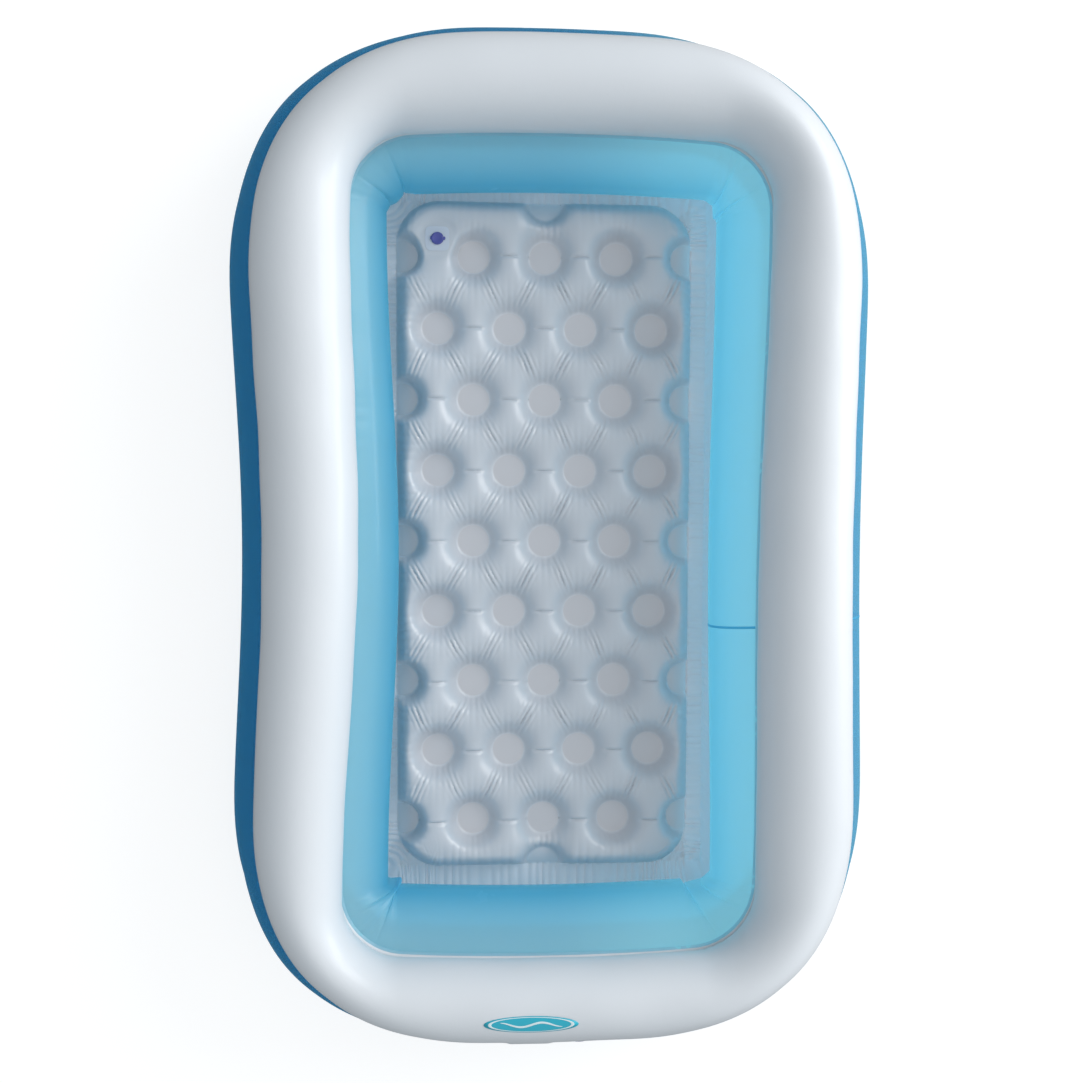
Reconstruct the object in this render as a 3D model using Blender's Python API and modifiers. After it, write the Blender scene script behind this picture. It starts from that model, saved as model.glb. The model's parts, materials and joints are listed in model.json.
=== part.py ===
"""Inflatable paddling pool: two air rings of welded film, a quilted air floor and three push-in valves.

Metres, +Z up, +Y towards the end with the floor's valve. The origin is on the ground, under the middle.
"""

import math
from collections import namedtuple

import bmesh
import bpy
from mathutils import Matrix, Vector
from mathutils.geometry import delaunay_2d_cdt

# Outside of the lower ring, which is the widest piece
POOL_LENGTH = 1.67
POOL_WIDTH = 1.052

# Film, and the gap that welded films keep in the model
FILM = 0.0003
GAP = 0.0003
FLANGE_WIDTH = 0.010
MERGE = 0.00001

# Cross sections of the two rings. The lower one bulges past the upper one by unlike amounts round the plan
UPPER_RING_WIDTH = 0.146
UPPER_END_WIDTH = 0.134
UPPER_RING_HEIGHT = 0.112
LOWER_RING_HEIGHT = 0.168
SIDE_BULGE_OUT = 0.0515
END_BULGE_OUT = 0.0530
CORNER_BULGE_OUT = 0.0570
SIDE_BULGE_IN = 0.0565
END_BULGE_IN = 0.0700
CORNER_BULGE_IN = 0.0715
FOOT_ROUNDING = 0.075
UPPER_PINCH_ANGLE = math.radians(37)
LOWER_PINCH_ANGLE = math.radians(70)
UPPER_ARC_STEPS = 10
LOWER_ARC_STEPS = 4

# Plan of the rings
INNER_CORNER = 0.088
OUTER_CORNER_X = 0.377
OUTER_CORNER_Y = 0.389
OUTER_CORNER_POWER = 2.6
WAIST_LEFT = 0.0185
WAIST_RIGHT = 0.008
WAIST_LENGTH = 1.10
WAIST_RAMP = 0.25
END_BOW = 0.0145
END_BOW_REACH = 0.36
END_BOW_START = 0.40
RIM_SHIFT = 0.0097
RIM_SKEW = 0.010
CORNER_STEPS = 7
LONG_SIDE_STEPS = 5
END_STEPS = 3

# Valley folds in the inner corners of the lower ring
FOLD_STEPS = (2, 5)
FOLD_DEPTH = 0.006

# Air floor, which lies a little off the middle
FLOOR_SETBACK_X = 0.020
FLOOR_SETBACK_Y = 0.009
FLOOR_SHIFT_X = -0.010
FLOOR_SHIFT_Y = 0.008
FLOOR_CORNER = 0.075
FLOOR_CORNER_STEPS = 3
FLOOR_CREST = 0.042
SPOT_DIAMETER = 0.054
SPOT_PITCH_X = 0.121
SPOT_PITCH_Y = 0.120
SPOT_LIFT = 0.016
SPOT_ROW_SHIFT = 0.005
NOTCH_INSET = 0.004
SPOT_SIDES = 6
PILLOW_RUN = 0.045
EDGE_RUN = 0.030
SHOULDER_RUN = 0.016
BASE_DRAW = 0.022
FLOOR_EDGE_STEP = 0.055
LAP_WIDTH = 0.020
LAP_RAMP = 0.004
LAP_CLEARANCE = 0.002

# Valves, all three alike
VALVE_PLATE_SIDE = 0.040
VALVE_PLATE_CORNER = 0.009
PLATE_CORNER_STEPS = 4
VALVE_PLATE_THICKNESS = 0.0008
VALVE_HOLE_RADIUS = 0.0095
VALVE_PAD_RADIUS = 0.0262
VALVE_FROM_ROW = 0.025
STEM_RADIUS = 0.0065
BORE_RADIUS = 0.0050
STEM_DEPTH = 0.0140
LIP_RADIUS = 0.0105
LIP_THICKNESS = 0.0010
SKIRT_THICKNESS = 0.0005
SKIRT_DEPTH = 0.0085
HEAD_RADIUS = 0.0096
HEAD_THICKNESS = 0.0020
HEAD_CHAMFER = 0.0006
NOSE_LENGTH = 0.0050
NOSE_CLEARANCE = 0.0003
NOSE_TAPER = 0.0005
STRAP_REACH = 0.0135
STRAP_WIDTH = 0.0050
STRAP_THICKNESS = 0.0008
FLAP_THICKNESS = 0.0006
FLAP_RADIUS = 0.0060
FLAP_HINGE_WIDTH = 0.0030
RING_VALVE_SPREAD = 0.045
TURN_STEPS = 16

# Cuts run this far past what they cut
OVERRUN = 0.006

WHITE = (0.82, 0.83, 0.87)
BLUE = (0.13, 0.50, 0.80)
FROSTED = (0.66, 0.72, 0.78)
VALVE_BLUE = (0.10, 0.10, 0.45)
VALVE_CLEAR = (0.60, 0.66, 0.76)

UPPER_OUT = Vector((POOL_WIDTH / 2 - SIDE_BULGE_OUT, POOL_LENGTH / 2 - END_BULGE_OUT))
UPPER_IN = Vector((UPPER_OUT.x - UPPER_RING_WIDTH, UPPER_OUT.y - UPPER_END_WIDTH))
LAP_HEIGHT = 2 * (FILM + GAP)
WEB_HALF = FILM / 2
FLANGE_HALF = WEB_HALF + GAP
FLOOR_HALF = UPPER_IN - Vector((SIDE_BULGE_IN + FLOOR_SETBACK_X, END_BULGE_IN + FLOOR_SETBACK_Y))
FLOOR_MIDDLE = Vector((FLOOR_SHIFT_X, FLOOR_SHIFT_Y))
SPOT_RADIUS = SPOT_DIAMETER / 2


def clear_scene():
    for thing in list(bpy.data.objects):
        bpy.data.objects.remove(thing, do_unlink=True)


def make_collection(name):
    collection = bpy.data.collections.new(name)
    bpy.context.scene.collection.children.link(collection)
    return collection


clear_scene()
PARTS = make_collection("paddling_pool")
CUTTERS = make_collection("cutters")


def make_material(name, colour, roughness, alpha=1.0):
    material = bpy.data.materials.new(name)
    material.use_nodes = True
    shader = material.node_tree.nodes["Principled BSDF"]
    shader.inputs["Base Color"].default_value = (*colour, 1.0)
    shader.inputs["Roughness"].default_value = roughness
    shader.inputs["Metallic"].default_value = 0.0
    shader.inputs["Alpha"].default_value = alpha
    return material


def link_object(name, mesh, material, collection=PARTS):
    thing = bpy.data.objects.new(name, mesh)
    collection.objects.link(thing)
    if material:
        mesh.materials.append(material)
    return thing


def link_cutter(name, mesh):
    cutter = link_object(name, mesh, None, CUTTERS)
    cutter.hide_render = True
    cutter.display_type = "WIRE"
    return cutter


def shade(mesh):
    mesh.shade_smooth()
    mesh.set_sharp_from_angle(angle=math.radians(40))


def mesh_from_bmesh(name, bm):
    mesh = bpy.data.meshes.new(name)
    bm.to_mesh(mesh)
    bm.free()
    shade(mesh)
    return mesh


def add_solidify(thing, thickness, offset):
    shell = thing.modifiers.new("film", "SOLIDIFY")
    shell.thickness = thickness
    shell.offset = offset
    shell.use_even_offset = True
    shell.use_quality_normals = True


def add_boolean(thing, cutter, operation):
    cut = thing.modifiers.new(cutter.name, "BOOLEAN")
    cut.operation = operation
    cut.solver = "EXACT"
    cut.object = cutter


# Plan of the rings: stations round the loop, on the inner and the outer rail of the upper ring

Station = namedtuple("Station", "inner outer bulge_in bulge_out fold")


def inside_outer_rail(point):
    ax, ay = abs(point.x), abs(point.y)
    if ax > UPPER_OUT.x or ay > UPPER_OUT.y:
        return False
    u = (ax - UPPER_OUT.x) / OUTER_CORNER_X + 1
    v = (ay - UPPER_OUT.y) / OUTER_CORNER_Y + 1
    if u <= 0 or v <= 0:
        return True
    return u ** OUTER_CORNER_POWER + v ** OUTER_CORNER_POWER <= 1


def reach_outer_rail(start, direction):
    near, far = 0.0, POOL_LENGTH
    for _ in range(40):
        middle = (near + far) / 2
        if inside_outer_rail(start + direction * middle):
            near = middle
        else:
            far = middle
    return start + direction * near


def warp(point):
    """The long sides are drawn in at the waist, and the ends bow out."""
    x, y = point
    waist = WAIST_LEFT if x < 0 else WAIST_RIGHT
    along = min(abs(y) / (WAIST_LENGTH / 2), 1)
    ramp = min(abs(x) / WAIST_RAMP, 1)
    pull = waist * math.cos(along * math.pi / 2) ** 2 * ramp
    bow = END_BOW * min(abs(x) / END_BOW_REACH, 1) ** 2
    return Vector((x - math.copysign(pull, x), y - bow * max(-1, min(y / END_BOW_START, 1))))


def bulge(ray, side, end, corner):
    """How far the lower ring stands past the upper one, where a ray of the plan points."""
    diagonal = (2 * ray.x * ray.y) ** 2
    return diagonal * corner + (1 - diagonal) * (side * ray.x ** 2 + end * ray.y ** 2)


def make_station(inner, ray, fold):
    """The basin's rim lies a little towards the foot end and askew, and the wall under it doesn't."""
    shift = Vector((RIM_SKEW * inner.y / UPPER_IN.y, -RIM_SHIFT))
    bulge_in = bulge(ray, SIDE_BULGE_IN, END_BULGE_IN, CORNER_BULGE_IN) + shift.dot(ray)
    bulge_out = bulge(ray, SIDE_BULGE_OUT, END_BULGE_OUT, CORNER_BULGE_OUT)
    outer = warp(reach_outer_rail(inner, ray))
    return Station(warp(inner) + shift, outer, bulge_in, bulge_out, fold)


def make_stations():
    """Stations round the plan, with valley folds in the corners.

    The waists differ, so the plan is set back to the middle at the end.
    """
    centre = UPPER_IN - Vector((INNER_CORNER, INNER_CORNER))
    signs = ((1, 1), (-1, 1), (-1, -1), (1, -1))
    stations = []
    for k, (sx, sy) in enumerate(signs):
        hub = Vector((sx * centre.x, sy * centre.y))
        for j in range(CORNER_STEPS + 1):
            angle = math.pi / 2 * (k + j / CORNER_STEPS)
            ray = Vector((math.cos(angle), math.sin(angle)))
            stations.append(make_station(hub + ray * INNER_CORNER, ray, j in FOLD_STEPS))
        nx, ny = signs[(k + 1) % 4]
        start = hub + ray * INNER_CORNER
        finish = Vector((nx * centre.x, ny * centre.y)) + ray * INNER_CORNER
        steps = END_STEPS if k % 2 == 0 else LONG_SIDE_STEPS
        for j in range(1, steps):
            stations.append(make_station(start.lerp(finish, j / steps), ray, False))
    sides = [station.outer.x for station in stations]
    middle = Vector(((max(sides) + min(sides)) / 2, 0))
    return [s._replace(inner=s.inner - middle, outer=s.outer - middle) for s in stations]


STATIONS = make_stations()


def place(station, across, height):
    """A point of the section at a station: across is measured from the ring's middle line, outwards."""
    middle = (station.inner + station.outer) / 2
    outward = (station.outer - station.inner).normalized()
    spot = middle + outward * across
    return Vector((spot.x, spot.y, height))


def half_width(station):
    return (station.outer - station.inner).length / 2


def pinch(station):
    return half_width(station) * math.cos(UPPER_PINCH_ANGLE)


# Sections of the films, from the outer flange to the inner flange


def upper_section(station):
    half = half_width(station)
    rise = UPPER_RING_HEIGHT / (1 + math.sin(UPPER_PINCH_ANGLE))
    middle = LOWER_RING_HEIGHT + UPPER_RING_HEIGHT - rise
    flange = LOWER_RING_HEIGHT + FLANGE_HALF + FILM
    tip = pinch(station) + FLANGE_WIDTH
    points = [place(station, tip, flange), place(station, pinch(station), flange)]
    first, last = -UPPER_PINCH_ANGLE, math.pi + UPPER_PINCH_ANGLE
    for j in range(1, UPPER_ARC_STEPS):
        angle = first + (last - first) * j / UPPER_ARC_STEPS
        points.append(place(station, half * math.cos(angle), middle + rise * math.sin(angle)))
    points.append(place(station, -pinch(station), flange))
    points.append(place(station, -tip, flange))
    return points


def lower_side(station, past_rail, foot, fold):
    """One side of the lower ring, from flange to ground, with across counted from the middle."""
    widest = half_width(station) + past_rail
    run = (widest - pinch(station)) / (1 - math.cos(LOWER_PINCH_ANGLE))
    seam = LOWER_RING_HEIGHT - FLANGE_HALF - FILM
    rise = seam / (1 + math.sin(LOWER_PINCH_ANGLE))
    points = [(pinch(station) + FLANGE_WIDTH, seam), (pinch(station), seam)]
    for j in range(1, LOWER_ARC_STEPS + 1):
        angle = LOWER_PINCH_ANGLE * (1 - j / LOWER_ARC_STEPS)
        points.append((widest - run * (1 - math.cos(angle)), rise + rise * math.sin(angle)))
    for j in range(1, LOWER_ARC_STEPS + 1):
        angle = math.pi / 2 * j / LOWER_ARC_STEPS
        across = widest - FOOT_ROUNDING * (1 - math.cos(angle))
        points.append((across, rise - (rise - foot) * math.sin(angle)))
    if fold:
        points = [(across - fold_depth(height, rise), height) for across, height in points]
    return points


def fold_depth(height, rise):
    """A valley fold is deepest a little under the widest line, and dies out at the seam and the ground."""
    level = max(-1.0, min(1.0, (height - rise) / rise))
    peak = 3 * math.sqrt(3) / 4
    return FOLD_DEPTH * math.sqrt(1 - level * level) * (1 - level) / peak


def lower_section(station):
    outer = lower_side(station, station.bulge_out, 0.0, False)
    inner = lower_side(station, station.bulge_in, LAP_HEIGHT, station.fold)
    lap_end = inner[-1][0] - LAP_WIDTH
    inner += [(lap_end, LAP_HEIGHT), (lap_end - LAP_RAMP, 0.0)]
    points = [place(station, across, height) for across, height in outer]
    return points + [place(station, -across, height) for across, height in reversed(inner)]


def web_section(station):
    tip = pinch(station) + FLANGE_WIDTH
    height = LOWER_RING_HEIGHT + WEB_HALF
    return [place(station, tip, height), place(station, -tip, height)]


def loft_ring(name, section, material, flip=False):
    """Faces between the sections of neighbouring stations, in triangles so that both skins match."""
    bm = bmesh.new()
    rows = [[bm.verts.new(p) for p in section(station)] for station in STATIONS]
    for k, row in enumerate(rows):
        after = rows[(k + 1) % len(rows)]
        for j in range(len(row) - 1):
            face = [row[j], after[j], after[j + 1], row[j + 1]]
            bm.faces.new(reversed(face) if flip else face)
    bmesh.ops.triangulate(bm, faces=bm.faces[:])
    ring = link_object(name, mesh_from_bmesh(name, bm), material)
    add_solidify(ring, FILM, -1)
    return ring


def upper_ring_film():
    return loft_ring("upper_ring_film", upper_section, make_material("white_film", WHITE, 0.35))


def chamber_web():
    return loft_ring("chamber_web", web_section, make_material("web_film", FROSTED, 0.4))


def lower_ring_film():
    material = make_material("blue_film", BLUE, 0.18, 0.75)
    return loft_ring("lower_ring_film", lower_section, material, flip=True)


# Air floor: where its films are welded, and how high they stand, measured from the floor's own middle


# Spots on each side of the middle one, in the rows that have one
SIDE_SPOTS = int(FLOOR_HALF.x / SPOT_PITCH_X)


def spot_rows():
    """Rows of spot welds: each is its place along Y, and its places along X."""
    side_rows = int((FLOOR_HALF.y - SPOT_RADIUS) / SPOT_PITCH_Y)
    rows = []
    for k in range(-side_rows, side_rows + 1):
        count = 2 * SIDE_SPOTS + (k + 1) % 2
        places = [(j - (count - 1) / 2) * SPOT_PITCH_X for j in range(count)]
        rows.append((k * SPOT_PITCH_Y - SPOT_ROW_SHIFT, places))
    return rows


ROWS = spot_rows()


def edge_distance(x, y):
    """How far a point lies inside the edge weld, a rectangle with round corners."""
    dx = abs(x) - (FLOOR_HALF.x - FLOOR_CORNER)
    dy = abs(y) - (FLOOR_HALF.y - FLOOR_CORNER)
    if dx > 0 and dy > 0:
        return FLOOR_CORNER - math.hypot(dx, dy)
    return FLOOR_CORNER - max(dx, dy)


def is_full_spot(x, y):
    return edge_distance(x, y) > SPOT_RADIUS + LAP_CLEARANCE


def split_spots():
    """Spots that clear the edge weld, and those that run into it, with one amid each end."""
    places = [Vector((x, y)) for y, row in ROWS for x in row]
    full = [p for p in places if is_full_spot(*p)]
    notches = [Vector((0, side * (FLOOR_HALF.y - NOTCH_INSET))) for side in (-1, 1)]
    return full, [p for p in places if not is_full_spot(*p)] + notches


FULL_SPOTS, EDGE_SPOTS = split_spots()
FLOOR_VALVE = Vector(((1 - 2 * SIDE_SPOTS) * SPOT_PITCH_X / 2, ROWS[-1][0] + VALVE_FROM_ROW))


def rise_from(level, distance):
    share = max(0.0, min(distance / PILLOW_RUN, 1.0))
    return level + (FLOOR_CREST - level) * (math.sin(share * math.pi / 2) + share) / 2


def edge_rise(level, distance):
    """The film stands up steeply from the edge weld."""
    share = max(0.0, min(distance / EDGE_RUN, 1.0))
    return level + (FLOOR_CREST - level) * math.sqrt(share * (2 - share))


def top_height(x, y):
    """Height of the underside of the top film."""
    weld = FILM + GAP
    if (Vector((x, y)) - FLOOR_VALVE).length < VALVE_PAD_RADIUS + GAP:
        return FLOOR_CREST
    height = edge_rise(weld, edge_distance(x, y))
    for spot in EDGE_SPOTS:
        height = min(height, rise_from(weld, math.hypot(x - spot.x, y - spot.y) - SPOT_RADIUS - GAP))
    for spot in FULL_SPOTS:
        away = math.hypot(x - spot.x, y - spot.y) - SPOT_RADIUS - GAP
        height = min(height, rise_from(SPOT_LIFT + GAP / 2, away))
    return height


def base_height(x, y):
    """Height of the underside of the base film, which is drawn up at the full spots."""
    lifted = SPOT_LIFT - GAP / 2 - FILM
    inside = any(math.hypot(x - s.x, y - s.y) < SPOT_RADIUS + GAP for s in FULL_SPOTS)
    return lifted if inside else 0.0


def circle_points(centre, radius, sides):
    turn = 2 * math.pi / sides
    return [centre + Vector((math.cos(turn * k), math.sin(turn * k))) * radius for k in range(sides)]


def edge_loop(inset):
    """Points round the edge weld, or round a line inset from it."""
    hx, hy, radius = FLOOR_HALF.x - inset, FLOOR_HALF.y - inset, FLOOR_CORNER - inset
    points = []
    for k, (sx, sy) in enumerate(((1, 1), (-1, 1), (-1, -1), (1, -1))):
        hub = Vector((sx * (hx - radius), sy * (hy - radius)))
        for j in range(FLOOR_CORNER_STEPS + 1):
            angle = math.pi / 2 * (k + j / FLOOR_CORNER_STEPS)
            points.append(hub + Vector((math.cos(angle), math.sin(angle))) * radius)
        length = 2 * (hx - radius if k % 2 == 0 else hy - radius)
        steps = max(1, round(length / FLOOR_EDGE_STEP))
        along = Vector((-sx, 0)) if k % 2 == 0 else Vector((0, -sy))
        start = points[-1]
        for j in range(1, steps):
            points.append(start + along * (length * j / steps))
    return points


def flange_loop():
    """The outer edge of the floor's flange, in the lap under the lower ring."""
    points = []
    for station in STATIONS:
        foot = half_width(station) + station.bulge_in - FOOT_ROUNDING
        spot = place(station, -(foot - LAP_WIDTH + LAP_CLEARANCE), 0.0)
        points.append(spot.xy - FLOOR_MIDDLE)
    return points


def pillow_points():
    """The high points of the top film: halfway between neighbouring spots, and amid each three of them."""
    points = []
    for k, (y, row) in enumerate(ROWS):
        points += [Vector(((a + b) / 2, y)) for a, b in zip(row, row[1:])]
        if k + 1 == len(ROWS):
            continue
        above, places = ROWS[k + 1]
        merged = sorted([(x, y) for x in row] + [(x, above) for x in places])
        points += [Vector(((a[0] + b[0]) / 2, (a[1] + b[1]) / 2)) for a, b in zip(merged, merged[1:])]
        for a, b, c in zip(merged, merged[1:], merged[2:]):
            points.append(Vector(((a[0] + b[0] + c[0]) / 3, (a[1] + b[1] + c[1]) / 3)))
    clear = VALVE_PAD_RADIUS + SHOULDER_RUN / 2
    return [p for p in points if edge_distance(*p) > 2 * SHOULDER_RUN and (p - FLOOR_VALVE).length > clear]


def end_points():
    """High points between the last row of spots and the ends of the floor."""
    points = []
    for y, side in ((ROWS[0][0], -1), (ROWS[-1][0], 1)):
        middle = (y + side * SPOT_RADIUS + side * FLOOR_HALF.y) / 2
        halves = range(1 - 2 * SIDE_SPOTS, 2 * SIDE_SPOTS)
        points += [Vector((j * SPOT_PITCH_X / 2, middle)) for j in halves]
    clear = VALVE_PAD_RADIUS + SHOULDER_RUN / 2
    return [p for p in points if (p - FLOOR_VALVE).length > clear]


def triangulated_film(name, loose, loops, height, material):
    """A film over the given plan points. Loops stay as edges, and the first one is the outline."""
    points, edges = [], []
    for loop in loops:
        first = len(points)
        points += loop
        edges += [(first + k, first + (k + 1) % len(loop)) for k in range(len(loop))]
    points += loose
    result = delaunay_2d_cdt(points, edges, [], 1, MERGE)
    bm = bmesh.new()
    verts = [bm.verts.new((p.x, p.y, height(p.x, p.y))) for p in result[0]]
    for face in result[2]:
        bm.faces.new([verts[k] for k in face])
    bmesh.ops.recalc_face_normals(bm, faces=bm.faces[:])
    if sum(face.normal.z for face in bm.faces) < 0:
        bmesh.ops.reverse_faces(bm, faces=bm.faces[:])
    film = link_object(name, mesh_from_bmesh(name, bm), material)
    film.location = FLOOR_MIDDLE.to_3d()
    add_solidify(film, FILM, 1)
    return film


def floor_top_film():
    loops = [flange_loop(), edge_loop(0.0), edge_loop(SHOULDER_RUN)]
    loops += [circle_points(spot, SPOT_RADIUS, SPOT_SIDES) for spot in FULL_SPOTS]
    loops.append(circle_points(FLOOR_VALVE, VALVE_PAD_RADIUS, 2 * SPOT_SIDES))
    loose = [p for s in EDGE_SPOTS for p in circle_points(s, SPOT_RADIUS, 2 * SPOT_SIDES)]
    loose = [p for p in loose if edge_distance(*p) > SHOULDER_RUN + GAP]
    loose += pillow_points() + end_points()
    material = make_material("floor_film", FROSTED, 0.3)
    return triangulated_film("floor_top_film", loose, loops, top_height, material)


def floor_base_film():
    loops = [flange_loop()]
    loops += [circle_points(spot, SPOT_RADIUS, SPOT_SIDES) for spot in FULL_SPOTS]
    loose = [p for s in FULL_SPOTS for p in circle_points(s, SPOT_RADIUS + BASE_DRAW, SPOT_SIDES)]
    material = make_material("base_film", FROSTED, 0.45)
    return triangulated_film("floor_base_film", loose, loops, base_height, material)


# Valves: each is made about its own axis, Z outwards from the film, and then set on it


def wall_frame(origin, outward, along):
    """Axes of a valve: X along the ring, Z out of the film."""
    z = outward.normalized()
    x = along.normalized()
    y = z.cross(x)
    turn = Matrix((x, y, z)).transposed().to_4x4()
    return Matrix.Translation(origin) @ turn


def ring_wall(section, spot_x, step):
    """The valve's frame on the foot end of a ring, and the film's outline in the valve's own Y and Z."""
    straight = UPPER_IN.x - INNER_CORNER - RIM_SKEW
    foot_end = [s for s in STATIONS if s.inner.y < 0 and abs(s.inner.x) < straight]
    foot_end.sort(key=lambda s: abs(s.inner.x - spot_x))
    path = section(foot_end[0])
    path = [Vector((spot_x, p.y, p.z)) for p in path]
    lower, upper = sorted((path[step], path[step + 1]), key=lambda p: p.z)
    origin = (lower + upper) / 2
    along = Vector((1, 0, 0))
    outward = (upper - lower).cross(along)
    if outward.y > 0:
        outward.negate()
    frame = wall_frame(origin, outward, along)
    local = [frame.inverted() @ p for p in path]
    local = sorted((p.y, p.z) for p in local[max(step - 1, 1):step + 3])
    return frame, local


def offset_path(path, distance):
    """The open path of (y, z) points moved outwards, with mitred corners."""
    spots = [Vector(p) for p in path]
    normals = [Vector((a.y - b.y, b.x - a.x)).normalized() for a, b in zip(spots, spots[1:])]
    moved = []
    for k, spot in enumerate(spots):
        before = normals[max(k - 1, 0)]
        after = normals[min(k, len(normals) - 1)]
        middle = (before + after).normalized()
        moved.append(spot + middle * (distance / middle.dot(before)))
    return moved


def rounded_prism(name, side, corner, hole, depth):
    """A squarish prism with round corners and a round hole, which trims a valve's plate."""
    outline = []
    reach = side / 2 - corner
    for k, (sx, sy) in enumerate(((1, 1), (-1, 1), (-1, -1), (1, -1))):
        for j in range(PLATE_CORNER_STEPS + 1):
            angle = math.pi / 2 * (k + j / PLATE_CORNER_STEPS)
            outline.append((sx * reach + corner * math.cos(angle), sy * reach + corner * math.sin(angle)))
    curve = bpy.data.curves.new(name, "CURVE")
    curve.dimensions = "2D"
    curve.fill_mode = "BOTH"
    curve.extrude = depth
    hole_points = [(p.x, p.y) for p in circle_points(Vector((0, 0)), hole, 2 * TURN_STEPS)]
    for points in (outline, hole_points):
        spline = curve.splines.new("POLY")
        spline.points.add(len(points) - 1)
        for point, (x, y) in zip(spline.points, points):
            point.co = (x, y, 0, 1)
        spline.use_cyclic_u = True
    return mesh_from_curve(name, curve)


def mesh_from_curve(name, curve):
    shape = bpy.data.objects.new(name + "_outline", curve)
    CUTTERS.objects.link(shape)
    bpy.context.view_layer.update()
    mesh = bpy.data.meshes.new_from_object(shape.evaluated_get(bpy.context.evaluated_depsgraph_get()))
    bpy.data.objects.remove(shape)
    bm = bmesh.new()
    bm.from_mesh(mesh)
    bmesh.ops.remove_doubles(bm, verts=bm.verts[:], dist=MERGE)
    bm.to_mesh(mesh)
    bm.free()
    return mesh


def turned(name, profile, closed, material, steps=TURN_STEPS):
    """A profile of (radius, height) points turned about Z."""
    mesh = bpy.data.meshes.new(name)
    edges = [(k, k + 1) for k in range(len(profile) - 1)]
    if closed:
        edges.append((len(profile) - 1, 0))
    mesh.from_pydata([(r, 0.0, z) for r, z in profile], edges, [])
    thing = link_object(name, mesh, material)
    screw = thing.modifiers.new("turn", "SCREW")
    screw.steps = steps
    screw.render_steps = steps
    screw.use_merge_vertices = True
    screw.merge_threshold = MERGE
    screw.use_smooth_shade = True
    return thing


def box_mesh(name, low, high):
    bm = bmesh.new()
    bmesh.ops.create_cube(bm, size=1.0)
    size = Vector(high) - Vector(low)
    middle = (Vector(high) + Vector(low)) / 2
    bmesh.ops.scale(bm, vec=size, verts=bm.verts[:])
    bmesh.ops.translate(bm, vec=middle, verts=bm.verts[:])
    mesh = bpy.data.meshes.new(name)
    bm.to_mesh(mesh)
    bm.free()
    return mesh


def cut_valve_hole(film, name, frame):
    bm = bmesh.new()
    bmesh.ops.create_cone(
        bm, cap_ends=True, segments=2 * TURN_STEPS,
        radius1=VALVE_HOLE_RADIUS, radius2=VALVE_HOLE_RADIUS, depth=2 * OVERRUN,
    )
    cutter = link_cutter(name + "_hole", mesh_from_bmesh(name + "_hole", bm))
    cutter.matrix_world = frame
    add_boolean(film, cutter, "DIFFERENCE")


PLATE_TOP = GAP + VALVE_PLATE_THICKNESS
LIP_LOW = PLATE_TOP + GAP
LIP_TOP = LIP_LOW + LIP_THICKNESS
HEAD_LOW = LIP_TOP + GAP


def valve_base(name, frame, wall, material):
    """The welded plate, which follows the film under it."""
    plate = offset_path(wall, GAP)
    side = VALVE_PLATE_SIDE / 2 + GAP
    bm = bmesh.new()
    left = [bm.verts.new((-side, p.x, p.y)) for p in plate]
    right = [bm.verts.new((side, p.x, p.y)) for p in plate]
    for k in range(len(plate) - 1):
        bm.faces.new((left[k], right[k], right[k + 1], left[k + 1]))
    thing = link_object(name, mesh_from_bmesh(name, bm), material)
    add_solidify(thing, VALVE_PLATE_THICKNESS, 1)
    trim = name + "_trim"
    prism = rounded_prism(trim, VALVE_PLATE_SIDE, VALVE_PLATE_CORNER, VALVE_HOLE_RADIUS, 4 * OVERRUN)
    cutter = link_cutter(trim, prism)
    add_boolean(thing, cutter, "INTERSECT")
    thing.matrix_world = frame
    cutter.matrix_world = frame
    return thing


def valve_skirt(name, frame, material):
    """The thin wall that rolls inwards when the stem is pushed in."""
    outer = VALVE_HOLE_RADIUS - GAP
    inner = STEM_RADIUS + GAP
    bend = (outer + inner) / 2
    profile = [
        (outer, PLATE_TOP),
        (outer, -SKIRT_DEPTH / 2),
        (bend, -SKIRT_DEPTH),
        (inner, -SKIRT_DEPTH),
        (inner, SKIRT_THICKNESS - SKIRT_DEPTH),
        (bend - SKIRT_THICKNESS / 2, SKIRT_THICKNESS - SKIRT_DEPTH),
        (outer - SKIRT_THICKNESS, -SKIRT_DEPTH / 2),
        (outer - SKIRT_THICKNESS, PLATE_TOP),
    ]
    thing = turned(name, profile, True, material)
    thing.matrix_world = frame
    return thing


def valve_stem(name, frame, material):
    """The tube, with a lip that stops on the plate and a tab that carries the plug's strap."""
    profile = [
        (LIP_RADIUS, LIP_TOP),
        (LIP_RADIUS, LIP_LOW),
        (STEM_RADIUS, LIP_LOW),
        (STEM_RADIUS, -STEM_DEPTH),
        (BORE_RADIUS, -STEM_DEPTH),
        (BORE_RADIUS, LIP_TOP),
    ]
    thing = turned(name, profile, True, material)
    tab = box_mesh(
        name + "_tab",
        (STEM_RADIUS, -STRAP_WIDTH / 2, LIP_LOW + LIP_THICKNESS / 10),
        (STRAP_REACH - GAP / 2, STRAP_WIDTH / 2, LIP_TOP - LIP_THICKNESS / 10),
    )
    cutter = link_cutter(name + "_tab", tab)
    add_boolean(thing, cutter, "UNION")
    thing.matrix_world = frame
    cutter.matrix_world = frame
    return thing


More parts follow.
